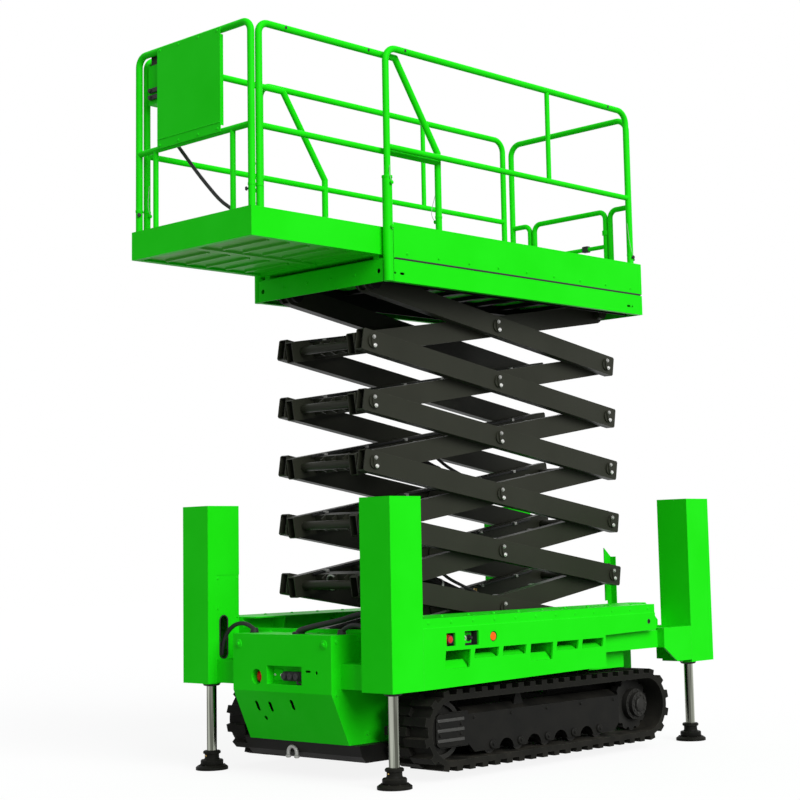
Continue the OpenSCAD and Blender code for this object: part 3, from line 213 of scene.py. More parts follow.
def finish_of(name, colour, drift_to, rough, metallic=0.0, fine=400.0, drift=3.0, bump=0.1, worn_and_highlight=None,
              wear_and_highlight=0.0, wear_and_highlight_radius=0.004, dust=(0.0, 0.0), coat=0.0, spread=0.08, shine=0.2):
    """Coated, moulded or bare surface with grain, lighter edges that are partly scuffs and partly painted
    highlight, and dust.
    """
    material = bpy.data.materials.new(name)
    material.use_nodes = True
    s = Sheet(material.node_tree)
    shader = material.node_tree.nodes["Principled BSDF"]
    grain = s.add("ShaderNodeGroup", node_tree=GRAIN)
    grain.inputs["Fine scale"].default_value = fine
    grain.inputs["Drift scale"].default_value = drift
    base = s.mix(s.span(grain.outputs["Drift"], 0.3, 0.7), colour, drift_to)
    roughness = s.span(grain.outputs["Drift"], 0.25, 0.75, rough - spread, rough + spread)
    if wear_and_highlight:
        edge = s.add("ShaderNodeGroup", node_tree=EDGES)
        edge.inputs["Amount"].default_value = wear_and_highlight
        edge.inputs["Radius"].default_value = wear_and_highlight_radius
        # Lighter edges: partly scuffed paint, partly a painted highlight.
        base = s.mix(edge.outputs["Mask"], base, worn_and_highlight)
    if dust[0] or dust[1]:
        film = s.add("ShaderNodeGroup", node_tree=DUST)
        film.inputs["On top"].default_value = dust[0]
        film.inputs["Near ground"].default_value = dust[1]
        base = s.mix(film.outputs["Mask"], base, DUST_COLOUR)
    s.join(base, shader.inputs["Base Color"])
    s.join(roughness, shader.inputs["Roughness"])
    shader.inputs["Metallic"].default_value = metallic
    shader.inputs["Coat Weight"].default_value = coat
    shader.inputs["Specular IOR Level"].default_value = shine
    height = s.add("ShaderNodeBump")
    height.inputs["Strength"].default_value = bump
    height.inputs["Distance"].default_value = 0.001
    s.join(grain.outputs["Fine"], height.inputs["Height"])
    s.join(height.outputs[0], shader.inputs["Normal"])
    return material


GREEN = finish_of("green_paint", (0.012, 0.70, 0.007), (0.009, 0.66, 0.004), 0.42, bump=0.05,
                  worn_and_highlight=(0.10, 0.86, 0.08), wear_and_highlight=0.4, wear_and_highlight_radius=0.003, dust=(0.01, 0.01), shine=0.04)
DECK_GREEN = finish_of("deck_plate", (0.024, 0.60, 0.018), (0.020, 0.54, 0.014), 0.42, bump=0.12,
                       worn_and_highlight=(0.20, 0.70, 0.18), wear_and_highlight=0.5, wear_and_highlight_radius=0.002, dust=(0.10, 0.0))
OLIVE = finish_of("arm_paint", (0.022, 0.0234, 0.016), (0.018, 0.0192, 0.013), 0.44, bump=0.08,
                  worn_and_highlight=(0.10, 0.10, 0.08), wear_and_highlight=0.4, dust=(0.02, 0.0), shine=0.12)
BLACK = finish_of("black_paint", (0.0055, 0.0056, 0.0050), (0.0080, 0.0080, 0.0070), 0.5, bump=0.1,
                  worn_and_highlight=(0.05, 0.05, 0.045), wear_and_highlight=0.4, dust=(0.03, 0.015), shine=0.07)
RUBBER = finish_of("track_rubber", (0.0060, 0.0062, 0.0052), (0.0095, 0.0096, 0.0080), 0.75, fine=250.0,
                   bump=0.25, worn_and_highlight=(0.06, 0.06, 0.05), wear_and_highlight=0.6, dust=(0.07, 0.03), shine=0.07)
STEEL = finish_of("wheel_steel", (0.024, 0.024, 0.022), (0.016, 0.016, 0.015), 0.48, metallic=0.3, bump=0.1,
                  worn_and_highlight=(0.12, 0.12, 0.11), wear_and_highlight=0.4, dust=(0.04, 0.03), shine=0.12)
CHROME = finish_of("chrome_rod", (0.46, 0.48, 0.41), (0.38, 0.40, 0.34), 0.2, metallic=1.0, fine=900.0,
                   bump=0.02, spread=0.04)
FOOT = finish_of("foot_steel", (0.0050, 0.0053, 0.0042), (0.0080, 0.0083, 0.0068), 0.55, bump=0.15,
                 worn_and_highlight=(0.06, 0.06, 0.05), wear_and_highlight=0.4, dust=(0.02, 0.01), shine=0.06)
PLASTIC = finish_of("black_plastic", (0.020, 0.020, 0.021), (0.028, 0.028, 0.029), 0.5, fine=700.0, bump=0.15)
CABLE = finish_of("cable_rubber", (0.016, 0.016, 0.017), (0.024, 0.024, 0.024), 0.55, fine=500.0, bump=0.12)
ZINC = finish_of("zinc", (0.72, 0.72, 0.70), (0.60, 0.60, 0.58), 0.34, metallic=0.7, fine=900.0, bump=0.05)
DULL_ZINC = finish_of("dull_zinc", (0.42, 0.42, 0.40), (0.32, 0.32, 0.31), 0.48, metallic=0.6, fine=900.0,
                      bump=0.08)
BRASS = finish_of("brass", (0.62, 0.42, 0.14), (0.50, 0.33, 0.10), 0.32, metallic=0.9, fine=900.0, bump=0.05)
RED = finish_of("stop_red", (0.60, 0.012, 0.010), (0.52, 0.010, 0.008), 0.38, fine=900.0, bump=0.04, coat=0.2)
RED_LENS = finish_of("red_lens", (0.80, 0.012, 0.008), (0.66, 0.008, 0.006), 0.3, drift=20.0, fine=260.0,
                     bump=0.25, shine=0.1)
AMBER = finish_of("amber_lens", (0.95, 0.17, 0.008), (0.88, 0.10, 0.006), 0.3, drift=20.0, fine=260.0,
                  bump=0.25, shine=0.1)
GUARD_STEEL = finish_of("guard_steel", (0.060, 0.060, 0.056), (0.040, 0.040, 0.038), 0.45, metallic=0.3,
                        bump=0.1, worn_and_highlight=(0.2, 0.2, 0.19), wear_and_highlight=0.5, shine=0.12)
YELLOW = finish_of("stop_yellow", (0.80, 0.58, 0.010), (0.74, 0.52, 0.008), 0.40, fine=900.0, bump=0.04)


def paint_rod_reflections():
    """Painted reflection: dark streaks along the rods, dark and light by turns, stand in for the dark
    surroundings the chrome reflects.
    """
    s = Sheet(CHROME.node_tree)
    shader = CHROME.node_tree.nodes["Principled BSDF"]
    plain = shader.inputs["Base Color"].links[0].from_socket
    stretch = s.add("ShaderNodeMapping")
    stretch.inputs["Scale"].default_value = (1.0, 1.0, 0.02)
    s.join(s.add("ShaderNodeTexCoord").outputs["Object"], stretch.inputs["Vector"])
    # Painted reflection: the rod colour is darkened along stretched streaks.
    dark = s.span(s.noise(stretch.outputs["Vector"], 44.0, 3.0), 0.44, 0.60)
    s.join(s.mix(dark, plain, (0.10, 0.105, 0.085)), shader.inputs["Base Color"])


# The roll-out deck's underside is painted paler, as if lit, and more so toward the front: upper limit, half
# width, the stretch over which the painted light grows with its end behind the rim, and colour.
PAINTED_LIGHT_Z = 2.826
PAINTED_LIGHT_Y = 0.455
PAINTED_LIGHT_X = (1.05, 1.90, 1.962)
PAINTED_LIGHT_GREEN = (0.13, 0.52, 0.08)


def paint_underside_light():
    """Roll-out deck's finish: green, with painted light, a paler underside inside its rim."""
    material = GREEN.copy()
    material.name = "roll_out_painted_light"
    s = Sheet(material.node_tree)
    shader = material.node_tree.nodes["Principled BSDF"]
    plain = shader.inputs["Base Color"].links[0].from_socket
    place = s.add("ShaderNodeSeparateXYZ")
    s.join(s.add("ShaderNodeTexCoord").outputs["Object"], place.inputs[0])
    start, end, rim = (x + MID_X for x in PAINTED_LIGHT_X)
    under = s.span(place.outputs[2], PAINTED_LIGHT_Z + 0.002, PAINTED_LIGHT_Z)
    inside = s.span(s.math("ABSOLUTE", place.outputs[1]), PAINTED_LIGHT_Y + 0.006, PAINTED_LIGHT_Y)
    ahead = s.span(place.outputs[0], start, end)
    behind_rim = s.span(place.outputs[0], rim + 0.004, rim)
    spread = s.math("MULTIPLY", s.math("MULTIPLY", inside, ahead), behind_rim)
    # Painted light: the underside is mixed toward pale green, more so toward the front where light falls on
    # it.
    s.join(s.mix(s.math("MULTIPLY", under, spread), plain, PAINTED_LIGHT_GREEN), shader.inputs["Base Color"])
    return material


ROLL_OUT_WITH_PAINTED_LIGHT = paint_underside_light()
paint_rod_reflections()


def coat_nodes():
    """Gives every carried-over node its finish."""
    special = {
        "undercarriage": BLACK, "lift_barrel_1": BLACK, "lift_barrel_2": BLACK, "deck_joists": BLACK,
        "track_belts": RUBBER, "track_wheels": STEEL, "power_unit": STEEL, "ground_controls": PLASTIC,
        "leg_lines": CABLE, "control_cable": CABLE, "floor_gland": PLASTIC, "ext_deck": ROLL_OUT_WITH_PAINTED_LIGHT}
    starts = {"inner_arms": OLIVE, "outer_arms": OLIVE, "leg_rod": CHROME, "lift_rod": CHROME, "foot": FOOT}
    for name, node in nodes.items():
        finish = special.get(name, GREEN)
        for start, coat in starts.items():
            if name.startswith(start):
                finish = coat
        node.data.materials.clear()
        node.data.materials.append(finish)


coat_nodes()
control_cord.data.materials.append(CABLE)


# Helpers for building pieces.
def at(x, y, z):
    """A place measured from the machine's own middle, in the shared frame."""
    return Vector((x + MID_X, y, z))


def moved(x, y, z):
    """Shift by three lengths."""
    return Matrix.Translation((x, y, z))


def upright(x, y, z):
    """Frame at a place, with the machine's own axes."""
    return Matrix.Translation(at(x, y, z))


def facing(x, y, z, way):
    """Frame at a place, with its Z axis along a direction."""
    return upright(x, y, z) @ Vector(way).to_track_quat("Z", "Y").to_matrix().to_4x4()


# Directions, and the turn that brings a form's Z axis onto X.
AHEAD = (1, 0, 0)
BACK = (-1, 0, 0)
LEFT = (0, 1, 0)
UP = (0, 0, 1)
DOWN = (0, 0, -1)
TO_X = Matrix.Rotation(math.pi / 2, 4, "Y")
# Edges that turn less than this are shaded smooth.
SMOOTH_BELOW = math.radians(38)


class Batch:
    """One piece made of many small forms, each with its own finish."""

    def __init__(self, name, body, slot):
        self.name = name
        self.body = body
        self.slot = slot
        self.shape = bmesh.new()
        self.finishes = []

    def paint(self, faces, finish):
        if finish not in self.finishes:
            self.finishes.append(finish)
        for face in faces:
            face.material_index = self.finishes.index(finish)
            face.smooth = True

    def skin(self, rings, finish, closed=True):
        """Faces between rings of points, with end caps."""
        faces = []
        for low, high in zip(rings, rings[1:]):
            count = max(len(low), len(high))
            for i in range(count):
                corners = [low[i % len(low)], low[(i + 1) % len(low)],
                           high[(i + 1) % len(high)], high[i % len(high)]]
                faces.append(self.shape.faces.new(list(dict.fromkeys(corners))))
        if closed and len(rings[0]) > 2:
            faces.append(self.shape.faces.new(list(reversed(rings[0]))))
        if closed and len(rings[-1]) > 2:
            faces.append(self.shape.faces.new(rings[-1]))
        self.paint(faces, finish)

    def lathe(self, finish, place, profile, sides=20):
        """Turned form from pairs of radius and height about the place's Z axis."""
        rings = []
        for radius, height in profile:
            count = sides if radius > 0 else 1
            turns = [2 * math.pi * i / count for i in range(count)]
            spots = [Vector((radius * math.cos(a), radius * math.sin(a), height)) for a in turns]
            rings.append([self.shape.verts.new(place @ spot) for spot in spots])
        self.skin(rings, finish)

    def prism(self, finish, place, outline, height, chamfer=0.0008):
        """Plate with a chamfered upper rim, from an outline about the place's Z axis."""
        middle = sum((Vector(p) for p in outline), Vector((0, 0))) / len(outline)
        rings = []
        for level, inset in ((0.0, 0.0), (height - chamfer, 0.0), (height, chamfer)):
            ring = []
            for p in outline:
                way = Vector(p) - middle
                q = middle + way * max(0.0, 1.0 - inset / way.length)
                ring.append(self.shape.verts.new(place @ Vector((q.x, q.y, level))))
            rings.append(ring)
        self.skin(rings, finish)

    def block(self, finish, place, size, chamfer=0.0015):
        """Block with chamfered edges, centred on the place."""
        made = bmesh.ops.create_cube(self.shape, size=1.0, matrix=place @ Matrix.Diagonal((*size, 1.0)))
        edges = list({e for v in made["verts"] for e in v.link_edges})
        cut = bmesh.ops.bevel(self.shape, geom=edges, offset=chamfer, segments=1, affect="EDGES")
        faces = set(cut["faces"])
        for face in list(faces):
            faces.update(g for e in face.edges for g in e.link_faces)
        self.paint(faces, finish)

    def tube(self, finish, points, radius, sides=10):
        """Round tube along points."""
        points = [Vector(p) for p in points]
        rings = []
        across = Vector((1, 0, 0))
        for i, point in enumerate(points):
            way = (points[min(i + 1, len(points) - 1)] - points[max(i - 1, 0)]).normalized()
            if abs(way.dot(across)) > 0.95:
                across = Vector((0, 1, 0)) if abs(way.y) < 0.9 else Vector((0, 0, 1))
            across = (across - way * across.dot(way)).normalized()
            up = way.cross(across)
            rings.append([self.shape.verts.new(point + (across * math.cos(a) + up * math.sin(a)) * radius)
                          for a in (2 * math.pi * k / sides for k in range(sides))])
        self.skin(rings, finish)

    def bolt(self, place, radius, finish=None):
        """Hexagon head on a washer."""
        finish = finish or ZINC
        rim = radius * 1.25
        self.lathe(finish, place, [(rim, 0.0), (rim, radius * 0.14), (rim * 0.96, radius * 0.2)], 18)
        head = [(radius, radius * 0.2), (radius, radius * 0.7), (radius * 0.84, radius * 0.86),
                (0.0, radius * 0.86)]
        self.lathe(finish, place, head, 6)

    def bolt_ring(self, place, count, reach, radius, finish=None, start=0.0):
        """Bolts round a circle about the place's Z axis, begun at a share of their pitch."""
        for i in range(count):
            a = 2 * math.pi * (i + start) / count
            spot = place @ moved(reach * math.cos(a), reach * math.sin(a), 0.0)
            self.bolt(spot, radius, finish)

    def build(self):
        """Links the finished piece and lets it ride its body."""
        bmesh.ops.recalc_face_normals(self.shape, faces=self.shape.faces)
        for edge in self.shape.edges:
            edge.smooth = edge.calc_face_angle(math.pi) < SMOOTH_BELOW
        mesh = bpy.data.meshes.new(self.name)
        self.shape.to_mesh(mesh)
        self.shape.free()
        for finish in self.finishes:
            mesh.materials.append(finish)
        piece = bpy.data.objects.new(self.name, mesh)
        scene.collection.objects.link(piece)
        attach(piece, self.body)
        return piece


def rounded(width, height, corner, steps=5):
    """Outline of a rectangle with round corners."""
    points = []
    for turn, (sx, sy) in enumerate(((1, 1), (-1, 1), (-1, -1), (1, -1))):
        for i in range(steps):
            a = math.pi / 2 * (turn + i / (steps - 1))
            x = sx * (width / 2 - corner) + corner * math.cos(a)
            y = sy * (height / 2 - corner) + corner * math.sin(a)
            points.append((x, y))
    return points


def smooth_path(points, steps=6):
    """Points of a smooth curve through a few given ones."""
    points = [Vector(p) for p in points]
    ends = [points[0] * 2 - points[1]] + points + [points[-1] * 2 - points[-2]]
    path = []
    for a, b, c, d in zip(ends, ends[1:], ends[2:], ends[3:]):
        for i in range(steps):
            t = i / steps
            square = (2 * a - 5 * b + 4 * c - d) * t * t
            cube = (3 * b - a - 3 * c + d) * t ** 3
            path.append(0.5 * (2 * b + (c - a) * t + square + cube))
    path.append(points[-1])
    return path


# The folding stack: arm length, rise of a stage, front pin and the arms' tilt as they stand.
ARM = 2.090
RISE = 0.333
PIN_X = 1.018
PIN_Z = 0.690
TILT = math.asin(RISE / ARM)
STAGES = 6
CAP_Y = 0.363
ARM_INNER_Y = 0.227


def on_inner(stage):
    """Frame of an inner arm pair, at its front pin, X along the arms."""
    return upright(PIN_X, 0, PIN_Z + (stage - 1) * RISE) @ Matrix.Rotation(TILT, 4, "Y")


def outward(side):
    """Turn that points Z to the left or right side, with Y up or down."""
    return Matrix.Rotation(-side * math.pi / 2, 4, "X")


def pin_keepers(stage):
    """Keeper plates with two bolts over the pin ends of one inner pair."""
    batch = Batch(f"pin_keepers_{stage}", f"inner_{stage}", "arm_paint")
    spots = [-ARM / 2]
    if stage > 1:
        spots.append(0.0)
    if stage < STAGES:
        spots.append(-ARM)
    for side in (1, -1):
        for u in spots:
            place = on_inner(stage) @ moved(u, side * CAP_Y, 0) @ outward(side)
            batch.prism(OLIVE, place, rounded(0.036, 0.074, 0.012), 0.007)
            for w, finish in ((0.024 * side, ZINC), (-0.024 * side, DULL_ZINC)):
                batch.bolt(place @ moved(0, w, 0.007), 0.0095, finish)
    batch.build()


def arm_pipes(stage):
    """Two oil pipes and their clips along the inside of the left arm, a conduit along the right one."""
    batch = Batch(f"arm_pipes_{stage}", f"inner_{stage}", "black_paint")
    arm = on_inner(stage)
    level, radius = 0.050, 0.0065
    start, end = -1.97, -0.06
    nut = [(0.0085, -0.03), (0.0095, -0.028), (0.0095, 0.0), (0.006, 0.004), (0.006, 0.012)]
    for y in (ARM_INNER_Y - 0.011, ARM_INNER_Y - 0.031):
        batch.tube(BLACK, [arm @ Vector((u, y, level)) for u in (start, end)], radius, 12)
        for u, way in ((start, -1), (end, 1)):
            place = arm @ moved(u, y, level) @ Matrix.Rotation(math.pi / 2 * way, 4, "Y")
            batch.lathe(ZINC, place, nut, 6)
    conduit_y = 0.012 - ARM_INNER_Y
    batch.tube(CABLE, [arm @ Vector((u, conduit_y, level)) for u in (start, end)], radius, 12)
    for i in range(6):
        u = start + 0.16 + i * 0.33
        for y, width in ((ARM_INNER_Y - 0.021, 0.046), (0.014 - ARM_INNER_Y, 0.030)):
            batch.block(DULL_ZINC, arm @ moved(u, y, level), (0.022, width, 0.017))
    batch.build()


# The lift cylinders: pins in the arms' frames, and the cylinder's frame as it stands.
BARREL_PIN = (1.250, -0.035)
ROD_PIN = (0.550, -0.010)
BARREL_LEN = 0.612
PORT_TOP = 0.054


def on_cylinder(stage):
    """Frame of a lift cylinder at its barrel pin, X toward the rod."""
    low = on_inner(stage) @ Vector((-BARREL_PIN[0], 0, BARREL_PIN[1]))
    high = on_inner(stage + 1) @ Vector((-ROD_PIN[0], 0, ROD_PIN[1]))
    way = high - low
    return Matrix.Translation(low) @ Matrix.Rotation(-math.atan2(way.z, way.x), 4, "Y")


def cylinder_lines(number, stage):
    """Brass fittings on a barrel's ports, its oil hose and steel bands."""
    batch = Batch(f"cylinder_lines_{number}", f"barrel_{number}", "cable_rubber")
    barrel = on_cylinder(stage)
    fitting = [(0.011, 0.0), (0.015, 0.002), (0.015, 0.014), (0.010, 0.016), (0.010, 0.026)]
    port = BARREL_LEN - 0.066
    for u in (0.104, port):
        batch.lathe(BRASS, barrel @ moved(u, 0, PORT_TOP), fitting, 6)
    hose = [(port, 0, PORT_TOP + 0.020), (port - 0.004, 0, PORT_TOP + 0.034),
            (port - 0.05, 0.006, PORT_TOP + 0.040), (0.38, 0.030, 0.058), (0.25, 0.036, 0.050),
            (0.13, 0.040, 0.046), (0.04, 0.050, 0.030), (-0.06, 0.062, 0.0)]
    batch.tube(CABLE, [barrel @ p for p in smooth_path(hose)], 0.0095, 12)
    band = [(0.0412, -0.009), (0.0425, -0.008), (0.0425, 0.008), (0.0412, 0.009)]
    for u in (0.22, 0.42):
        batch.lathe(DULL_ZINC, barrel @ moved(u, 0, 0) @ TO_X, band, 28)
    batch.build()


def rod_wipers(number, stage):
    """Light ring and dark wiper at a barrel's mouth."""
    batch = Batch(f"rod_wiper_{number}", f"barrel_{number}", "black_paint")
    mouth = on_cylinder(stage) @ moved(BARREL_LEN, 0, 0) @ TO_X
    batch.lathe(DULL_ZINC, mouth, [(0.0405, -0.006), (0.0415, 0.0), (0.040, 0.006), (0.032, 0.007)], 28)
    batch.lathe(CABLE, mouth, [(0.031, 0.0), (0.0295, 0.009), (0.0242, 0.011), (0.0235, 0.0)], 28)
    batch.build()


def highlight_ring():
    """Open steel ring on the front beam of the second inner pair, a painted highlight for the lit rim of a
    lift cylinder's round end.
    """
    batch = Batch("highlight_ring", "inner_2", "wheel_steel")
    middle = on_inner(2) @ moved(-0.079, -0.0905, 0.0)
    radius = 0.040
    turns = [math.radians(40 + 280 * i / 24) for i in range(25)]
    points = [middle @ Vector((0.0, radius * math.cos(a), radius * math.sin(a))) for a in turns]
    batch.tube(DULL_ZINC, points, 0.006, 10)
    boss = [(0.006, -0.007), (0.010, -0.005), (0.010, 0.005), (0.006, 0.007)]
    for a in (turns[0], turns[-1]):
        end = middle @ moved(0, radius * math.cos(a), radius * math.sin(a))
        batch.lathe(DULL_ZINC, end @ TO_X, boss, 14)
    batch.build()


# The nose: its face, and the floor of the tray set back in it.
NOSE_X = 1.400
TRAY_FLOOR_X = 1.350


def nose_lamp():
    """Red lens in its bezel, set back in the nose."""
    batch = Batch("nose_lamp", "base", "black_plastic")
    place = facing(TRAY_FLOOR_X, -0.202, 0.541, AHEAD)
    bezel = [(0.0415, 0.0), (0.0415, 0.012), (0.036, 0.016), (0.034, 0.012), (0.034, 0.004)]
    lens = [(0.034, 0.004), (0.034, 0.014), (0.030, 0.022), (0.018, 0.028), (0.0, 0.030)]
    batch.lathe(PLASTIC, place, bezel, 32)
    batch.lathe(RED_LENS, place, lens, 32)
    batch.build()


def nose_connectors():
    """Black plugs with a lead, and a bolted cover, in the tray of the nose."""
    batch = Batch("nose_connectors", "base", "black_plastic")
    x, z = TRAY_FLOOR_X, 0.549
    batch.block(PLASTIC, upright(x + 0.014, 0.062, 0.548), (0.028, 0.150, 0.050), 0.004)
    plug = [(0.021, 0.0), (0.021, 0.006), (0.018, 0.008), (0.018, 0.020), (0.013, 0.022), (0.0, 0.018)]
    for y in (0.012, 0.062, 0.112):
        batch.lathe(PLASTIC, facing(x + 0.026, y, z, AHEAD), plug)
    pin = [(0.008, 0.0), (0.008, 0.006), (0.0, 0.007)]
    batch.lathe(DULL_ZINC, facing(x + 0.036, 0.062, z, AHEAD), pin, 12)
    lead = [at(x + 0.030, 0.112, 0.525), at(x + 0.034, 0.118, 0.512), at(x + 0.020, 0.140, 0.508),
            at(x + 0.004, 0.150, 0.512)]
    batch.tube(CABLE, smooth_path(lead), 0.006)
    batch.block(GREEN, upright(x + 0.003, -0.072, 0.552), (0.006, 0.070, 0.060), 0.002)
    for y in (-0.098, -0.046):
        batch.bolt(facing(x + 0.006, y, 0.552, AHEAD), 0.006)
    batch.build()


def nose_bolts():
    """Flush bolts at the corners of the nose, on its sides and along its fold."""
    batch = Batch("nose_bolts", "base", "green_paint")
    for y, z in ((-0.349, 0.715), (0.345, 0.722)):
        place = facing(NOSE_X, y, z, AHEAD)
        batch.lathe(GREEN, place, [(0.024, 0.0), (0.024, 0.003), (0.020, 0.005), (0.0, 0.005)], 24)
        batch.bolt(place @ moved(0, 0, 0.004), 0.010, GREEN)
    for side in (1, -1):
        for x, z in ((1.205, 0.735), (1.365, 0.735), (1.145, 0.245), (1.365, 0.465)):
            batch.bolt(facing(x, side * 0.400, z, (0, side, 0)), 0.009, GREEN)
    for y in (-0.30, -0.10, 0.10, 0.30):
        batch.bolt(facing(1.215, y, 0.770, UP), 0.008, GREEN)
    batch.build()


def tow_ring():
    """Bright shackle on the tow ring under the nose."""
    batch = Batch("tow_ring", "base", "wheel_steel")
    x, y, z = 1.253, -0.080, 0.129
    radius, leg = 0.034, 0.014
    arc = [math.pi * i / 18 for i in range(19)]
    points = [at(x, y + radius * math.cos(a), z + radius * math.sin(a)) for a in arc]
    drop = Vector((0, 0, leg))
    batch.tube(DULL_ZINC, [points[0] - drop] + points + [points[-1] - drop], 0.0105, 14)
    end = [(0.0105, -0.004), (0.015, 0.0), (0.015, 0.010), (0.010, 0.014), (0.0, 0.014)]
    for side in (1, -1):
        batch.lathe(DULL_ZINC, facing(x, y + side * radius, z - leg, DOWN), end, 16)
    batch.build()


# The side panels: their face, the front of the ground controls' case and the controls' height.
SIDE_Y = 0.851
CASE_Y = 0.799
CTRL_Z = 0.735
# The panels' openings: count, front end, pitch and length, then lower edge, height and the deep ones' drop.
WINDOWS, WINDOW_X, WINDOW_PITCH, WINDOW_LEN = 6, 1.0145, 0.225, 0.190
WINDOW_Z, WINDOW_HIGH, POCKET_DROP = 0.628, 0.050, 0.044
# The openings' linings: sheet, share of the opening's height, and depths of the lower and upper edge.
LINING_T, LINING_SHARE = 0.003, 0.45
LINING_OUT, LINING_IN = 0.0135, 0.060


def stop_button():
    """Red mushroom button on a yellow ring."""
    batch = Batch("stop_button", "base", "black_plastic")
    place = facing(0.9635, CASE_Y, CTRL_Z, LEFT)
    batch.lathe(YELLOW, place, [(0.0305, 0.0), (0.0305, 0.0108), (0.028, 0.012), (0.0155, 0.012)], 32)
    cap = [(0.0155, 0.022), (0.0235, 0.0215), (0.0240, 0.030), (0.0240, 0.042), (0.0215, 0.0475),
           (0.013, 0.0505), (0.0, 0.0512)]
    batch.lathe(RED, place, cap, 32)
    batch.build()


def switch_panel():
    """Key switch and rocker on a green plate in its recess."""
    batch = Batch("switch_panel", "base", "black_plastic")
    x = 0.8035
    plate = facing(x, CASE_Y, CTRL_Z, LEFT)
    batch.prism(PLASTIC, plate, rounded(0.100, 0.068, 0.006), 0.003)
    batch.prism(GREEN, plate @ moved(0.0, 0.0, 0.003), rounded(0.090, 0.056, 0.005), 0.002)
    key = facing(x + 0.026, CASE_Y + 0.004, CTRL_Z, LEFT)
    lock = [(0.018, 0.0), (0.018, 0.003), (0.0145, 0.006), (0.0145, 0.019), (0.012, 0.021), (0.0, 0.0205)]
    batch.lathe(ZINC, key, lock, 24)
    batch.block(DULL_ZINC, key @ moved(0, 0, 0.023), (0.003, 0.016, 0.010), 0.0008)
    rocker = facing(x - 0.022, CASE_Y + 0.004, CTRL_Z, LEFT)
    batch.prism(PLASTIC, rocker, rounded(0.026, 0.034, 0.004), 0.006)
    stem = [(0.0098, 0.0), (0.0098, 0.018), (0.007, 0.022), (0.0, 0.0225)]
    batch.lathe(PLASTIC, rocker @ moved(0, 0, 0.005), stem, 18)
    batch.build()


def side_lamp():
    """Amber lens beside the switches."""
    batch = Batch("side_lamp", "base", "black_plastic")
    place = facing(0.6315, CASE_Y, CTRL_Z, LEFT)
    bezel = [(0.0272, 0.0), (0.0272, 0.036), (0.0262, 0.040), (0.0248, 0.040), (0.0245, 0.030)]
    lens = [(0.0245, 0.028), (0.0247, 0.044), (0.022, 0.049), (0.012, 0.0512), (0.0, 0.0516)]
    batch.lathe(PLASTIC, place, bezel, 28)
    batch.lathe(AMBER, place, lens, 28)
    batch.build()


def panel_bolts():
    """Button heads and a grommet on each side panel, and bolts on its top plate."""
    batch = Batch("panel_bolts", "base", "green_paint")
    button = [(0.009, 0.0), (0.0085, 0.002), (0.005, 0.0033), (0.0, 0.0036)]
    grommet = [(0.0148, 0.0), (0.0148, 0.011), (0.012, 0.0115), (0.011, 0.003), (0.0, 0.002)]
    for side in (1, -1):
        way = (0, side, 0)
        for i in range(12):
            batch.lathe(GREEN, facing(1.125 - i * 0.170, side * (SIDE_Y - 0.004), 0.826, way), button, 16)
        for i in range(10):
            batch.bolt(facing(1.10 - i * 0.205, side * 0.720, 0.850, UP), 0.008, GREEN)
        batch.lathe(PLASTIC, facing(-0.747, side * (SIDE_Y - 0.012), 0.750, way), grommet, 24)
    batch.build()


def window_linings():
    """Sloped linings behind the openings of both side panels."""
    batch = Batch("window_linings", "base", "green_paint")
    for side in (1, -1):
        outer, inner = side * (SIDE_Y - LINING_OUT), side * (SIDE_Y - LINING_IN)
        for i in range(WINDOWS):
            x1 = WINDOW_X - i * WINDOW_PITCH
            x0 = x1 - WINDOW_LEN - 0.010
            low = WINDOW_Z - (POCKET_DROP if i % 3 == 0 else 0.0) - LINING_T
            high = low + LINING_SHARE * (WINDOW_Z + WINDOW_HIGH - low)
            corners = [(x0, outer, low), (x1, outer, low), (x1, inner, high), (x0, inner, high)]
            rings = [[batch.shape.verts.new(at(x, y, z - drop)) for x, y, z in corners]
                     for drop in (0.0, LINING_T)]
            batch.skin(rings, GREEN)
    batch.build()


def nose_hoses():
    """Hoses that lie over the tub's front edge, from the nose to the left side plate."""
    batch = Batch("nose_hoses", "base", "cable_rubber")
    course = [(1.330, 0.050, 0.760), (1.322, 0.072, 0.790), (1.285, 0.150, 0.812), (1.230, 0.270, 0.838),
              (1.180, 0.390, 0.872), (1.120, 0.480, 0.888), (1.060, 0.545, 0.876), (1.035, 0.572, 0.846)]
    for shift, radius in ((0.0, 0.015), (0.034, 0.012)):
        batch.tube(CABLE, smooth_path([at(x - shift, y, z) for x, y, z in course]), radius, 14)
        collar = [(radius + 0.008, -0.002), (radius + 0.008, 0.008), (radius + 0.001, 0.014)]
        for x, y, z in ((1.330, 0.050, 0.770), (1.035, 0.572, 0.850)):
            batch.lathe(PLASTIC, facing(x - shift, y, z, UP), collar, 18)
    batch.build()


# Middle of the outrigger posts and of the feet under them.
POST_X, POST_Y = 1.283, 0.738


def post_fittings():
    """Cover screws, slot trim and rod seals of the four outrigger posts."""
    batch = Batch("post_fittings", "base", "black_plastic")
    slot_r = 0.028
    seal = [(0.047, -0.004), (0.047, 0.006), (0.040, 0.010), (0.0292, 0.012), (0.0292, 0.0)]
    for sx in (1, -1):
        for sy in (1, -1):
            x, y = sx * POST_X, sy * POST_Y
            inner = y - sy * 0.113
            face = inner + sy * 0.001
            slot = []
            for middle, start in ((0.834, 0.0), (0.650, math.pi)):
                for i in range(13):
                    a = start + math.pi * i / 12
                    slot.append(at(x + slot_r * math.cos(a), face, middle + slot_r * math.sin(a)))
            batch.tube(CABLE, slot + [slot[0]], 0.004, 8)
            for dx, z in ((-0.100, 0.64), (-0.100, 1.07), (0.040, 1.07), (-0.100, 0.85), (0.040, 0.90)):
                batch.bolt(facing(x + dx, inner + sy * 0.003, z, (0, -sy, 0)), 0.006, GREEN)
            batch.lathe(CABLE, facing(x, y, 0.476, DOWN), seal, 28)
            batch.bolt_ring(facing(x, y, 0.486, DOWN), 6, 0.062, 0.006)
    batch.build()


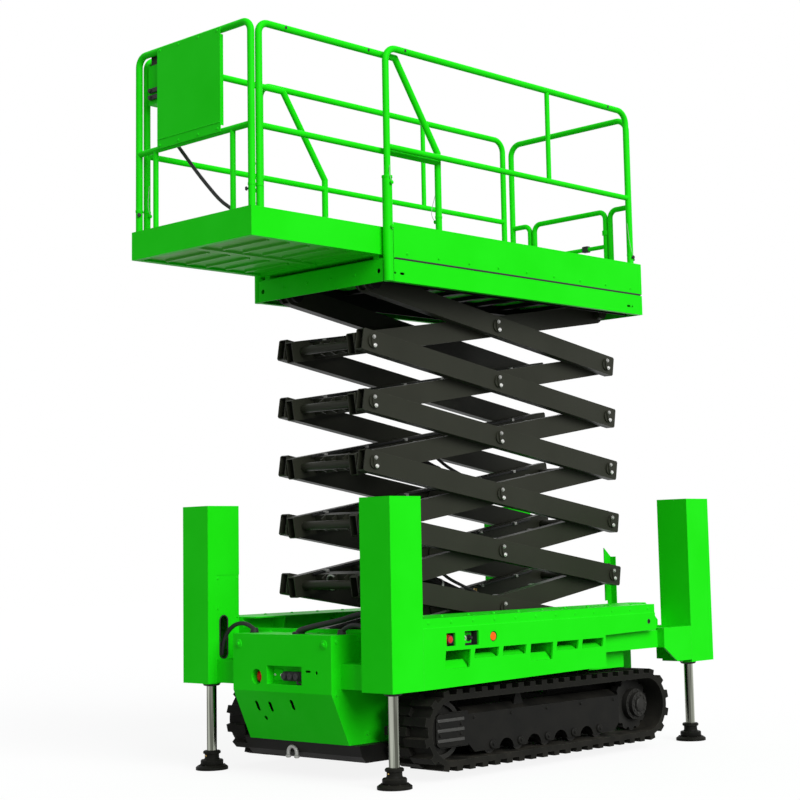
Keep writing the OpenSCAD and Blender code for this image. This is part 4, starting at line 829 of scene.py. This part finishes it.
def foot_fittings(corner, sx, sy):
    """Stepped hub, ring, grease nipple and bolts round one foot's neck."""
    batch = Batch(f"foot_fittings_{corner}", f"leg_{corner}", "foot_steel")
    x, y = sx * POST_X, sy * POST_Y
    collar = [(0.046, -0.014), (0.0495, -0.012), (0.0495, -0.002), (0.044, 0.003), (0.0292, 0.004)]
    batch.lathe(FOOT, facing(x, y, 0.102, UP), collar, 28)
    hub = [(0.050, 0.030), (0.0625, 0.022), (0.064, 0.024), (0.064, 0.050), (0.060, 0.055), (0.040, 0.056)]
    batch.lathe(FOOT, facing(x, y, 0.0, UP), hub, 32)
    batch.bolt_ring(facing(x, y, 0.0236, UP), 8, 0.072, 0.005, FOOT, start=0.5)
    nipple = [(0.005, 0.0), (0.005, 0.004), (0.003, 0.006), (0.0, 0.008)]
    batch.lathe(BRASS, facing(x + 0.040 * sx, y, 0.078, (sx, 0, 0)), nipple, 8)
    batch.build()


# The tracks: middle plane, the frames' cheeks from it, and the places of wheels and guards.
TRACK_Y = 0.655
CHEEK = 0.103
AXLE_Z = 0.260
SPROCKET_X = -0.765
GUARD_X = 0.893
ROLLER_Z = 0.1505
ROLLER_X = [-0.360 + 0.230 * i for i in range(5)]


def track_fittings():
    """Hub bolts and caps, roller caps and cover bolts on both track frames."""
    batch = Batch("track_fittings", "base", "wheel_steel")
    hub_cap = [(0.040, 0.0), (0.040, 0.004), (0.034, 0.008), (0.0, 0.009)]
    roller_cap = [(0.024, 0.0), (0.024, 0.006), (0.019, 0.010), (0.0, 0.010)]
    for side in (1, -1):
        way = (0, side, 0)
        hub = facing(SPROCKET_X, side * (TRACK_Y + 0.090), AXLE_Z, way)
        batch.bolt_ring(hub, 10, 0.056, 0.0075, STEEL)
        batch.lathe(STEEL, hub @ moved(0, 0, 0.008), hub_cap, 24)
        ring = facing(SPROCKET_X, side * (TRACK_Y + 0.062), AXLE_Z, way)
        batch.bolt_ring(ring, 12, 0.080, 0.006, STEEL, start=0.5)
        for x in ROLLER_X:
            cap = facing(x, side * (TRACK_Y + CHEEK), ROLLER_Z + 0.004, way)
            batch.lathe(BLACK, cap, roller_cap, 20)
            batch.bolt(cap @ moved(0, 0, 0.010), 0.008, BLACK)
        for x in (-0.50, -0.20, 0.10, 0.40, 0.70):
            batch.bolt(facing(x, side * (TRACK_Y + CHEEK), 0.308, way), 0.008, BLACK)
    batch.build()


def track_guards():
    """Ribbed guard plates over the idlers' tensioners."""
    batch = Batch("track_guards", "base", "wheel_steel")
    half_long, half_high = 0.108, 0.084
    for side in (1, -1):
        plate = facing(GUARD_X, side * (TRACK_Y + 0.109), AXLE_Z, (0, side, 0))
        batch.prism(BLACK, plate, rounded(2 * half_long, 2 * half_high, 0.030), 0.004)
        for w in (-0.052, 0.0, 0.052):
            bar = plate @ moved(0, w, 0.006)
            batch.block(GUARD_STEEL, bar, (2 * half_long - 0.012, 0.018, 0.008), 0.003)
        for u in (-0.080, 0.080):
            for w in (-0.026, 0.026):
                batch.bolt(plate @ moved(u, w, 0.004), 0.008, BLACK)
    batch.build()


# Inner shields of the tracks: middle, length and height of each plate.
SHIELDS = ((0.630, 0.148, 0.460, 0.130), (-0.475, 0.365, 0.650, 0.150))


def track_shields():
    """Thin plates on the tracks' inner sides, behind the front roller and under the upper run."""
    batch = Batch("track_shields", "base", "black_paint")
    for side in (1, -1):
        for x, z, length, height in SHIELDS:
            plate = facing(x, side * (TRACK_Y - CHEEK - 0.001), z, (0, -side, 0))
            batch.prism(BLACK, plate, rounded(length, height, 0.030), 0.004)
            for share in (-0.4, 0.0, 0.4):
                batch.bolt(plate @ moved(share * length, 0, 0.004), 0.008, BLACK)
    batch.build()


# The decks and rails.
FLOOR_Z = 2.793
DECK_Z = 2.663
EXT_FLOOR_Z = 2.836
DECK_REAR, DECK_FRONT = -1.178, 1.092
EXT_REAR, EXT_FRONT = 0.480, 2.004
RAIL_Y = 0.534
EXT_RAIL_Y = 0.478
SIDE_REAR_X = -1.101
REAR_FRAME_X = -1.151
EXT_FRAME_X = 1.975
EXT_POST_X, EXT_BACK_X = 1.923, 0.600
RAIL_Z = 3.981
EXT_RAIL_Z, EXT_MID_Z = 3.951, 3.401
HALF_DECK = 0.560
CORNER_X, CORNER_Y = 1.070, 0.542
# Heights of the rails' pins and the gate's latch, and the bare strips of the main floor.
DECK_PIN_Z = 3.030
EXT_PIN_Z = 3.060
LATCH_Z = 3.141
RUNNER_STRIP = (0.425, 0.490)


def tread(name, body, x0, x1, half, z, bare=(0.0, 0.0)):
    """Raised lozenges over a floor, turned by turns, except on bare strips for the runners."""
    batch = Batch(name, body, "deck_plate")
    pitch = 0.044
    long_r, wide_r, height, taper = 0.016, 0.0055, 0.0014, 0.6
    lozenge = [(long_r, 0), (0, wide_r), (-long_r, 0), (0, -wide_r)]
    across = int(2 * half / pitch)
    for i in range(int((x1 - x0) / pitch)):
        for j in range(across):
            y = (j - (across - 1) / 2) * pitch
            if bare[0] < abs(y) < bare[1]:
                continue
            turn = Matrix.Rotation(math.radians(45 if (i + j) % 2 else -45), 4, "Z")
            place = upright(x0 + (i + 0.5) * pitch, y, z) @ turn
            low = [place @ Vector((u, w, 0)) for u, w in lozenge]
            high = [place @ Vector((u * taper, w * taper, height)) for u, w in lozenge]
            batch.skin([[batch.shape.verts.new(p) for p in ring] for ring in (low, high)], DECK_GREEN)
    batch.build()


def rail_pin(batch, x, y, z, way, wire=None, finish=None):
    """Locking pin through a socket, with a bent wire up to the post above it."""
    place = facing(x, y, z, way)
    pin = [(0.006, -0.004), (0.006, 0.004), (0.011, 0.005), (0.011, 0.011), (0.008, 0.014), (0.0, 0.015)]
    batch.lathe(finish or PLASTIC, place, pin, 14)
    if wire:
        start = place @ Vector((0, 0, 0.010))
        end = start + Vector(wire)
        belly = (start + end) / 2 + Vector(way) * 0.012 + Vector((0.02, 0, -0.03))
        batch.tube(DULL_ZINC, smooth_path([start, belly, end], 8), 0.0016, 6)


def rail_plug(batch, x, y, z, way):
    """Flat plug in a rail's hole."""
    plug = [(0.008, 0.0), (0.008, 0.002), (0.006, 0.0035), (0.0, 0.004)]
    batch.lathe(PLASTIC, facing(x, y, z, way), plug, 14)


def deck_rail_pins():
    """Locking pins, wires and plugs on the main deck's rails."""
    batch = Batch("deck_rail_pins", "platform", "black_plastic")
    for side in (1, -1):
        way = (0, side, 0)
        rear_y, corner_y = side * (RAIL_Y + 0.0195), side * (CORNER_Y + 0.0295)
        rail_pin(batch, SIDE_REAR_X, rear_y, DECK_PIN_Z, way, (0.019, -side * 0.0295, 0.22))
        rail_pin(batch, CORNER_X, corner_y, 3.205, way, (-0.029, -side * 0.0475, 0.155), GREEN)
        rail_pin(batch, CORNER_X, corner_y, 2.960, way, finish=GREEN)
        rear_wire = (0.0295, -side * 0.019, 0.18)
        rail_pin(batch, REAR_FRAME_X - 0.0195, side * 0.500, DECK_PIN_Z, BACK, rear_wire)
        for x in (-0.90, 0.92):
            rail_plug(batch, x, side * (RAIL_Y + 0.0185), RAIL_Z, way)
    batch.build()


def roll_out_pins():
    """Locking pins, wires and plugs on the roll-out rails."""
    batch = Batch("roll_out_pins", "extension", "black_plastic")
    for side in (1, -1):
        wire = (0.0, side * 0.0115, 0.17)
        for x in (EXT_BACK_X, EXT_POST_X):
            rail_pin(batch, x, side * (EXT_RAIL_Y - 0.0205), EXT_PIN_Z, (0, -side, 0), wire, GREEN)
        slant = (0.6, -side * 0.8, 0)
        rail_pin(batch, EXT_FRAME_X + 0.0125, side * (EXT_RAIL_Y - 0.016), EXT_PIN_Z, slant)
        for x in (1.15, 1.75):
            rail_plug(batch, x, side * (EXT_RAIL_Y + 0.0185), EXT_RAIL_Z, (0, side, 0))
    batch.build()


def shield_fittings():
    """Rivets and the folded hem of the front shield."""
    batch = Batch("shield_fittings", "extension", "green_paint")
    x = EXT_FRAME_X + 0.023
    rivet = [(0.008, 0.0), (0.0075, 0.002), (0.004, 0.0035), (0.0, 0.004)]
    for y in (-0.262, -0.10, 0.07, 0.232):
        for z in (EXT_RAIL_Z - 0.010, EXT_MID_Z + 0.012):
            batch.lathe(GREEN, facing(x, y, z, AHEAD), rivet, 14)
    hem = [at(x + 0.001, y, EXT_MID_Z + 0.046) for y in (-0.283, 0.253)]
    batch.tube(GREEN, hem, 0.0022, 8)
    batch.build()


def console():
    """Hood, buttons, plugs and screws of the deck's control box."""
    batch = Batch("console", "extension", "black_plastic")
    top = 3.891
    front_x, back_x = 1.956, 1.836
    batch.block(OLIVE, upright(1.914, -0.334, top + 0.029), (0.080, 0.140, 0.080), 0.008)
    lean = Matrix.Rotation(-math.pi / 4, 4, "Y")
    slope = upright(back_x + 0.035, -0.290, top - 0.035) @ lean
    batch.prism(PLASTIC, slope, rounded(0.086, 0.236, 0.008), 0.003)
    for y, finish, radius in ((-0.085, RED, 0.016), (-0.045, PLASTIC, 0.010), (0.088, YELLOW, 0.010)):
        neck = radius * 0.7
        cap = [(neck, 0.0), (neck, 0.008), (radius, 0.009), (radius, 0.016), (neck, 0.020), (0.0, 0.021)]
        batch.lathe(finish, slope @ moved(0.006, y, 0.003), cap, 20)
    knob = [(0.012, 0.0), (0.012, 0.012), (0.009, 0.015), (0.0, 0.015)]
    for z in (3.707, 3.746):
        place = facing(front_x, -0.345, z, AHEAD)
        batch.block(PLASTIC, place @ moved(0, 0, 0.008), (0.110, 0.026, 0.016), 0.003)
        for u in (-0.04, 0.04):
            batch.lathe(PLASTIC, place @ moved(u, 0, 0.010), knob, 16)
    for y in (-0.40, -0.18):
        for z in (3.68, 3.84):
            batch.bolt(facing(back_x, y, z, BACK), 0.005)
    batch.build()


def gate_fittings():
    """Latch with its knob and bolt, stop block and kick plate bolts of the rear gate."""
    batch = Batch("gate_fittings", "gate", "black_plastic")
    x, latch_y = REAR_FRAME_X, -0.262
    batch.block(PLASTIC, upright(x - 0.004, latch_y, LATCH_Z), (0.052, 0.060, 0.044), 0.005)
    knob = [(0.014, 0.0), (0.014, 0.010), (0.011, 0.014), (0.0, 0.015)]
    batch.lathe(PLASTIC, facing(x - 0.028, latch_y, LATCH_Z, BACK), knob, 18)
    batch.tube(DULL_ZINC, [at(x, y, LATCH_Z) for y in (-0.290, -0.318)], 0.006, 10)
    batch.block(PLASTIC, upright(x, 0.137, LATCH_Z), (0.036, 0.048, 0.040), 0.004)
    for y in (-0.24, -0.08, 0.08, 0.24):
        batch.bolt(facing(x - 0.002, y, 2.880, BACK), 0.006, GREEN)
    batch.build()


def deck_bolts():
    """Bolts along the kick boards and across both ends of the deck frame."""
    batch = Batch("deck_bolts", "platform", "green_paint")
    radius = 0.007
    for side in (1, -1):
        for i in range(9):
            x = DECK_REAR + 0.12 + i * 0.25
            batch.bolt(facing(x, side * HALF_DECK, FLOOR_Z + 0.030, (0, side, 0)), radius, GREEN)
        for y in (0.40, 0.50):
            batch.bolt(facing(DECK_REAR, side * y, FLOOR_Z + 0.10, BACK), radius, GREEN)
        for y in (0.10, 0.30):
            batch.bolt(facing(DECK_FRONT, side * y, DECK_Z + 0.062, AHEAD), radius, GREEN)
            batch.bolt(facing(DECK_REAR, side * y, DECK_Z + 0.062, BACK), radius, GREEN)
    batch.build()


def deck_lines():
    """Hoses in clips under the deck."""
    batch = Batch("deck_lines", "platform", "black_paint")
    z = 2.747
    for y, radius in ((0.470, 0.010), (0.492, 0.008), (-0.470, 0.010)):
        batch.tube(CABLE, [at(DECK_REAR + 0.06, y, z), at(DECK_FRONT - 0.06, y, z)], radius, 12)
    for i in range(9):
        x = DECK_REAR + 0.14 + i * 0.25
        for y in (0.481, -0.470):
            batch.block(BLACK, upright(x, y, z), (0.024, 0.052, 0.024))
    batch.build()


def deck_seam_shadow():
    """Dark rubber beads in the seam between the deck frame and the kick boards, a painted shadow where the
    seam lies in shade.
    """
    batch = Batch("deck_seam_shadow", "platform", "cable_rubber")
    z = FLOOR_Z - 0.002
    x0, x1 = DECK_REAR + 0.014, CORNER_X - 0.036
    for side in (1, -1):
        y = side * (HALF_DECK - 0.0055)
        batch.tube(CABLE, [at(x0 + (x1 - x0) * i / 8, y, z) for i in range(9)], 0.0080, 12)
    batch.build()


for number in range(1, STAGES + 1):
    pin_keepers(number)
    arm_pipes(number)
for number, stage in ((1, 1), (2, 3)):
    cylinder_lines(number, stage)
    rod_wipers(number, stage)
highlight_ring()
nose_lamp()
nose_connectors()
nose_bolts()
tow_ring()
stop_button()
switch_panel()
side_lamp()
panel_bolts()
window_linings()
nose_hoses()
post_fittings()
for corner, sx, sy in (("fl", 1, 1), ("fr", 1, -1), ("rl", -1, 1), ("rr", -1, -1)):
    foot_fittings(corner, sx, sy)
track_fittings()
track_guards()
track_shields()
tread("floor_tread", "platform", DECK_REAR + 0.02, DECK_FRONT - 0.02, HALF_DECK - 0.035, FLOOR_Z,
      RUNNER_STRIP)
tread("roll_out_tread", "extension", EXT_REAR + 0.02, EXT_FRONT - 0.03, 0.455, EXT_FLOOR_Z)
deck_rail_pins()
roll_out_pins()
shield_fittings()
console()
gate_fittings()
deck_bolts()
deck_lines()
deck_seam_shadow()


def looked_at(s):
    """True for rays of the eye, also through glass and by reflection."""
    path = s.add("ShaderNodeLightPath")
    first = s.math("MAXIMUM", path.outputs["Is Camera Ray"], path.outputs["Is Transmission Ray"])
    return s.math("MAXIMUM", first, path.outputs["Is Glossy Ray"])


def plain_shader(s, kind, colour, strength=None):
    """Shader of one even colour."""
    node = s.add(kind)
    node.inputs["Color"].default_value = (*colour, 1)
    if strength is not None:
        node.inputs["Strength"].default_value = strength
    return node


def split_sight(s, lighting, shown, out):
    """Ends a tree with one shader for the eye and another for the light on other things."""
    both = s.add("ShaderNodeMixShader")
    s.join(looked_at(s), both.inputs[0])
    s.join(lighting.outputs[0], both.inputs[1])
    s.join(shown.outputs[0], both.inputs[2])
    s.join(both.outputs[0], s.add(out).inputs["Surface"])


def light_studio():
    """Bright key from the machine's left, soft fill all round, white surroundings."""
    world = bpy.data.worlds.new("studio")
    scene.world = world
    world.use_nodes = True
    s = Sheet(world.node_tree)
    s.tree.nodes.clear()
    shown = plain_shader(s, "ShaderNodeBackground", (1, 1, 1), 1.0)
    fill = plain_shader(s, "ShaderNodeBackground", (0.97, 0.98, 1.0), 0.5)
    split_sight(s, fill, shown, "ShaderNodeOutputWorld")
    lamp = bpy.data.lights.new("key", "SUN")
    lamp.energy = 3.2
    lamp.angle = math.radians(40)
    key = bpy.data.objects.new("key", lamp)
    key.rotation_euler = Vector((0.16, 0.86, 0.48)).to_track_quat("Z", "Y").to_euler()
    scene.collection.objects.link(key)


def lay_floor():
    """Pale ground: white to the eye, darker to the light it throws back up."""
    mesh = bpy.data.meshes.new("floor")
    shape = bmesh.new()
    bmesh.ops.create_grid(shape, x_segments=8, y_segments=8, size=30)
    shape.to_mesh(mesh)
    shape.free()
    floor = bpy.data.objects.new("floor", mesh)
    floor.location.z = -0.002
    scene.collection.objects.link(floor)
    material = bpy.data.materials.new("floor")
    material.use_nodes = True
    s = Sheet(material.node_tree)
    s.tree.nodes.clear()
    pale = plain_shader(s, "ShaderNodeBsdfDiffuse", (0.13, 0.13, 0.13))
    glow = plain_shader(s, "ShaderNodeEmission", (1, 1, 1), 0.875)
    bright = s.add("ShaderNodeAddShader")
    s.join(pale.outputs[0], bright.inputs[0])
    s.join(glow.outputs[0], bright.inputs[1])
    dim = plain_shader(s, "ShaderNodeBsdfDiffuse", (0.3, 0.3, 0.3))
    split_sight(s, dim, bright, "ShaderNodeOutputMaterial")
    mesh.materials.append(material)


light_studio()
lay_floor()
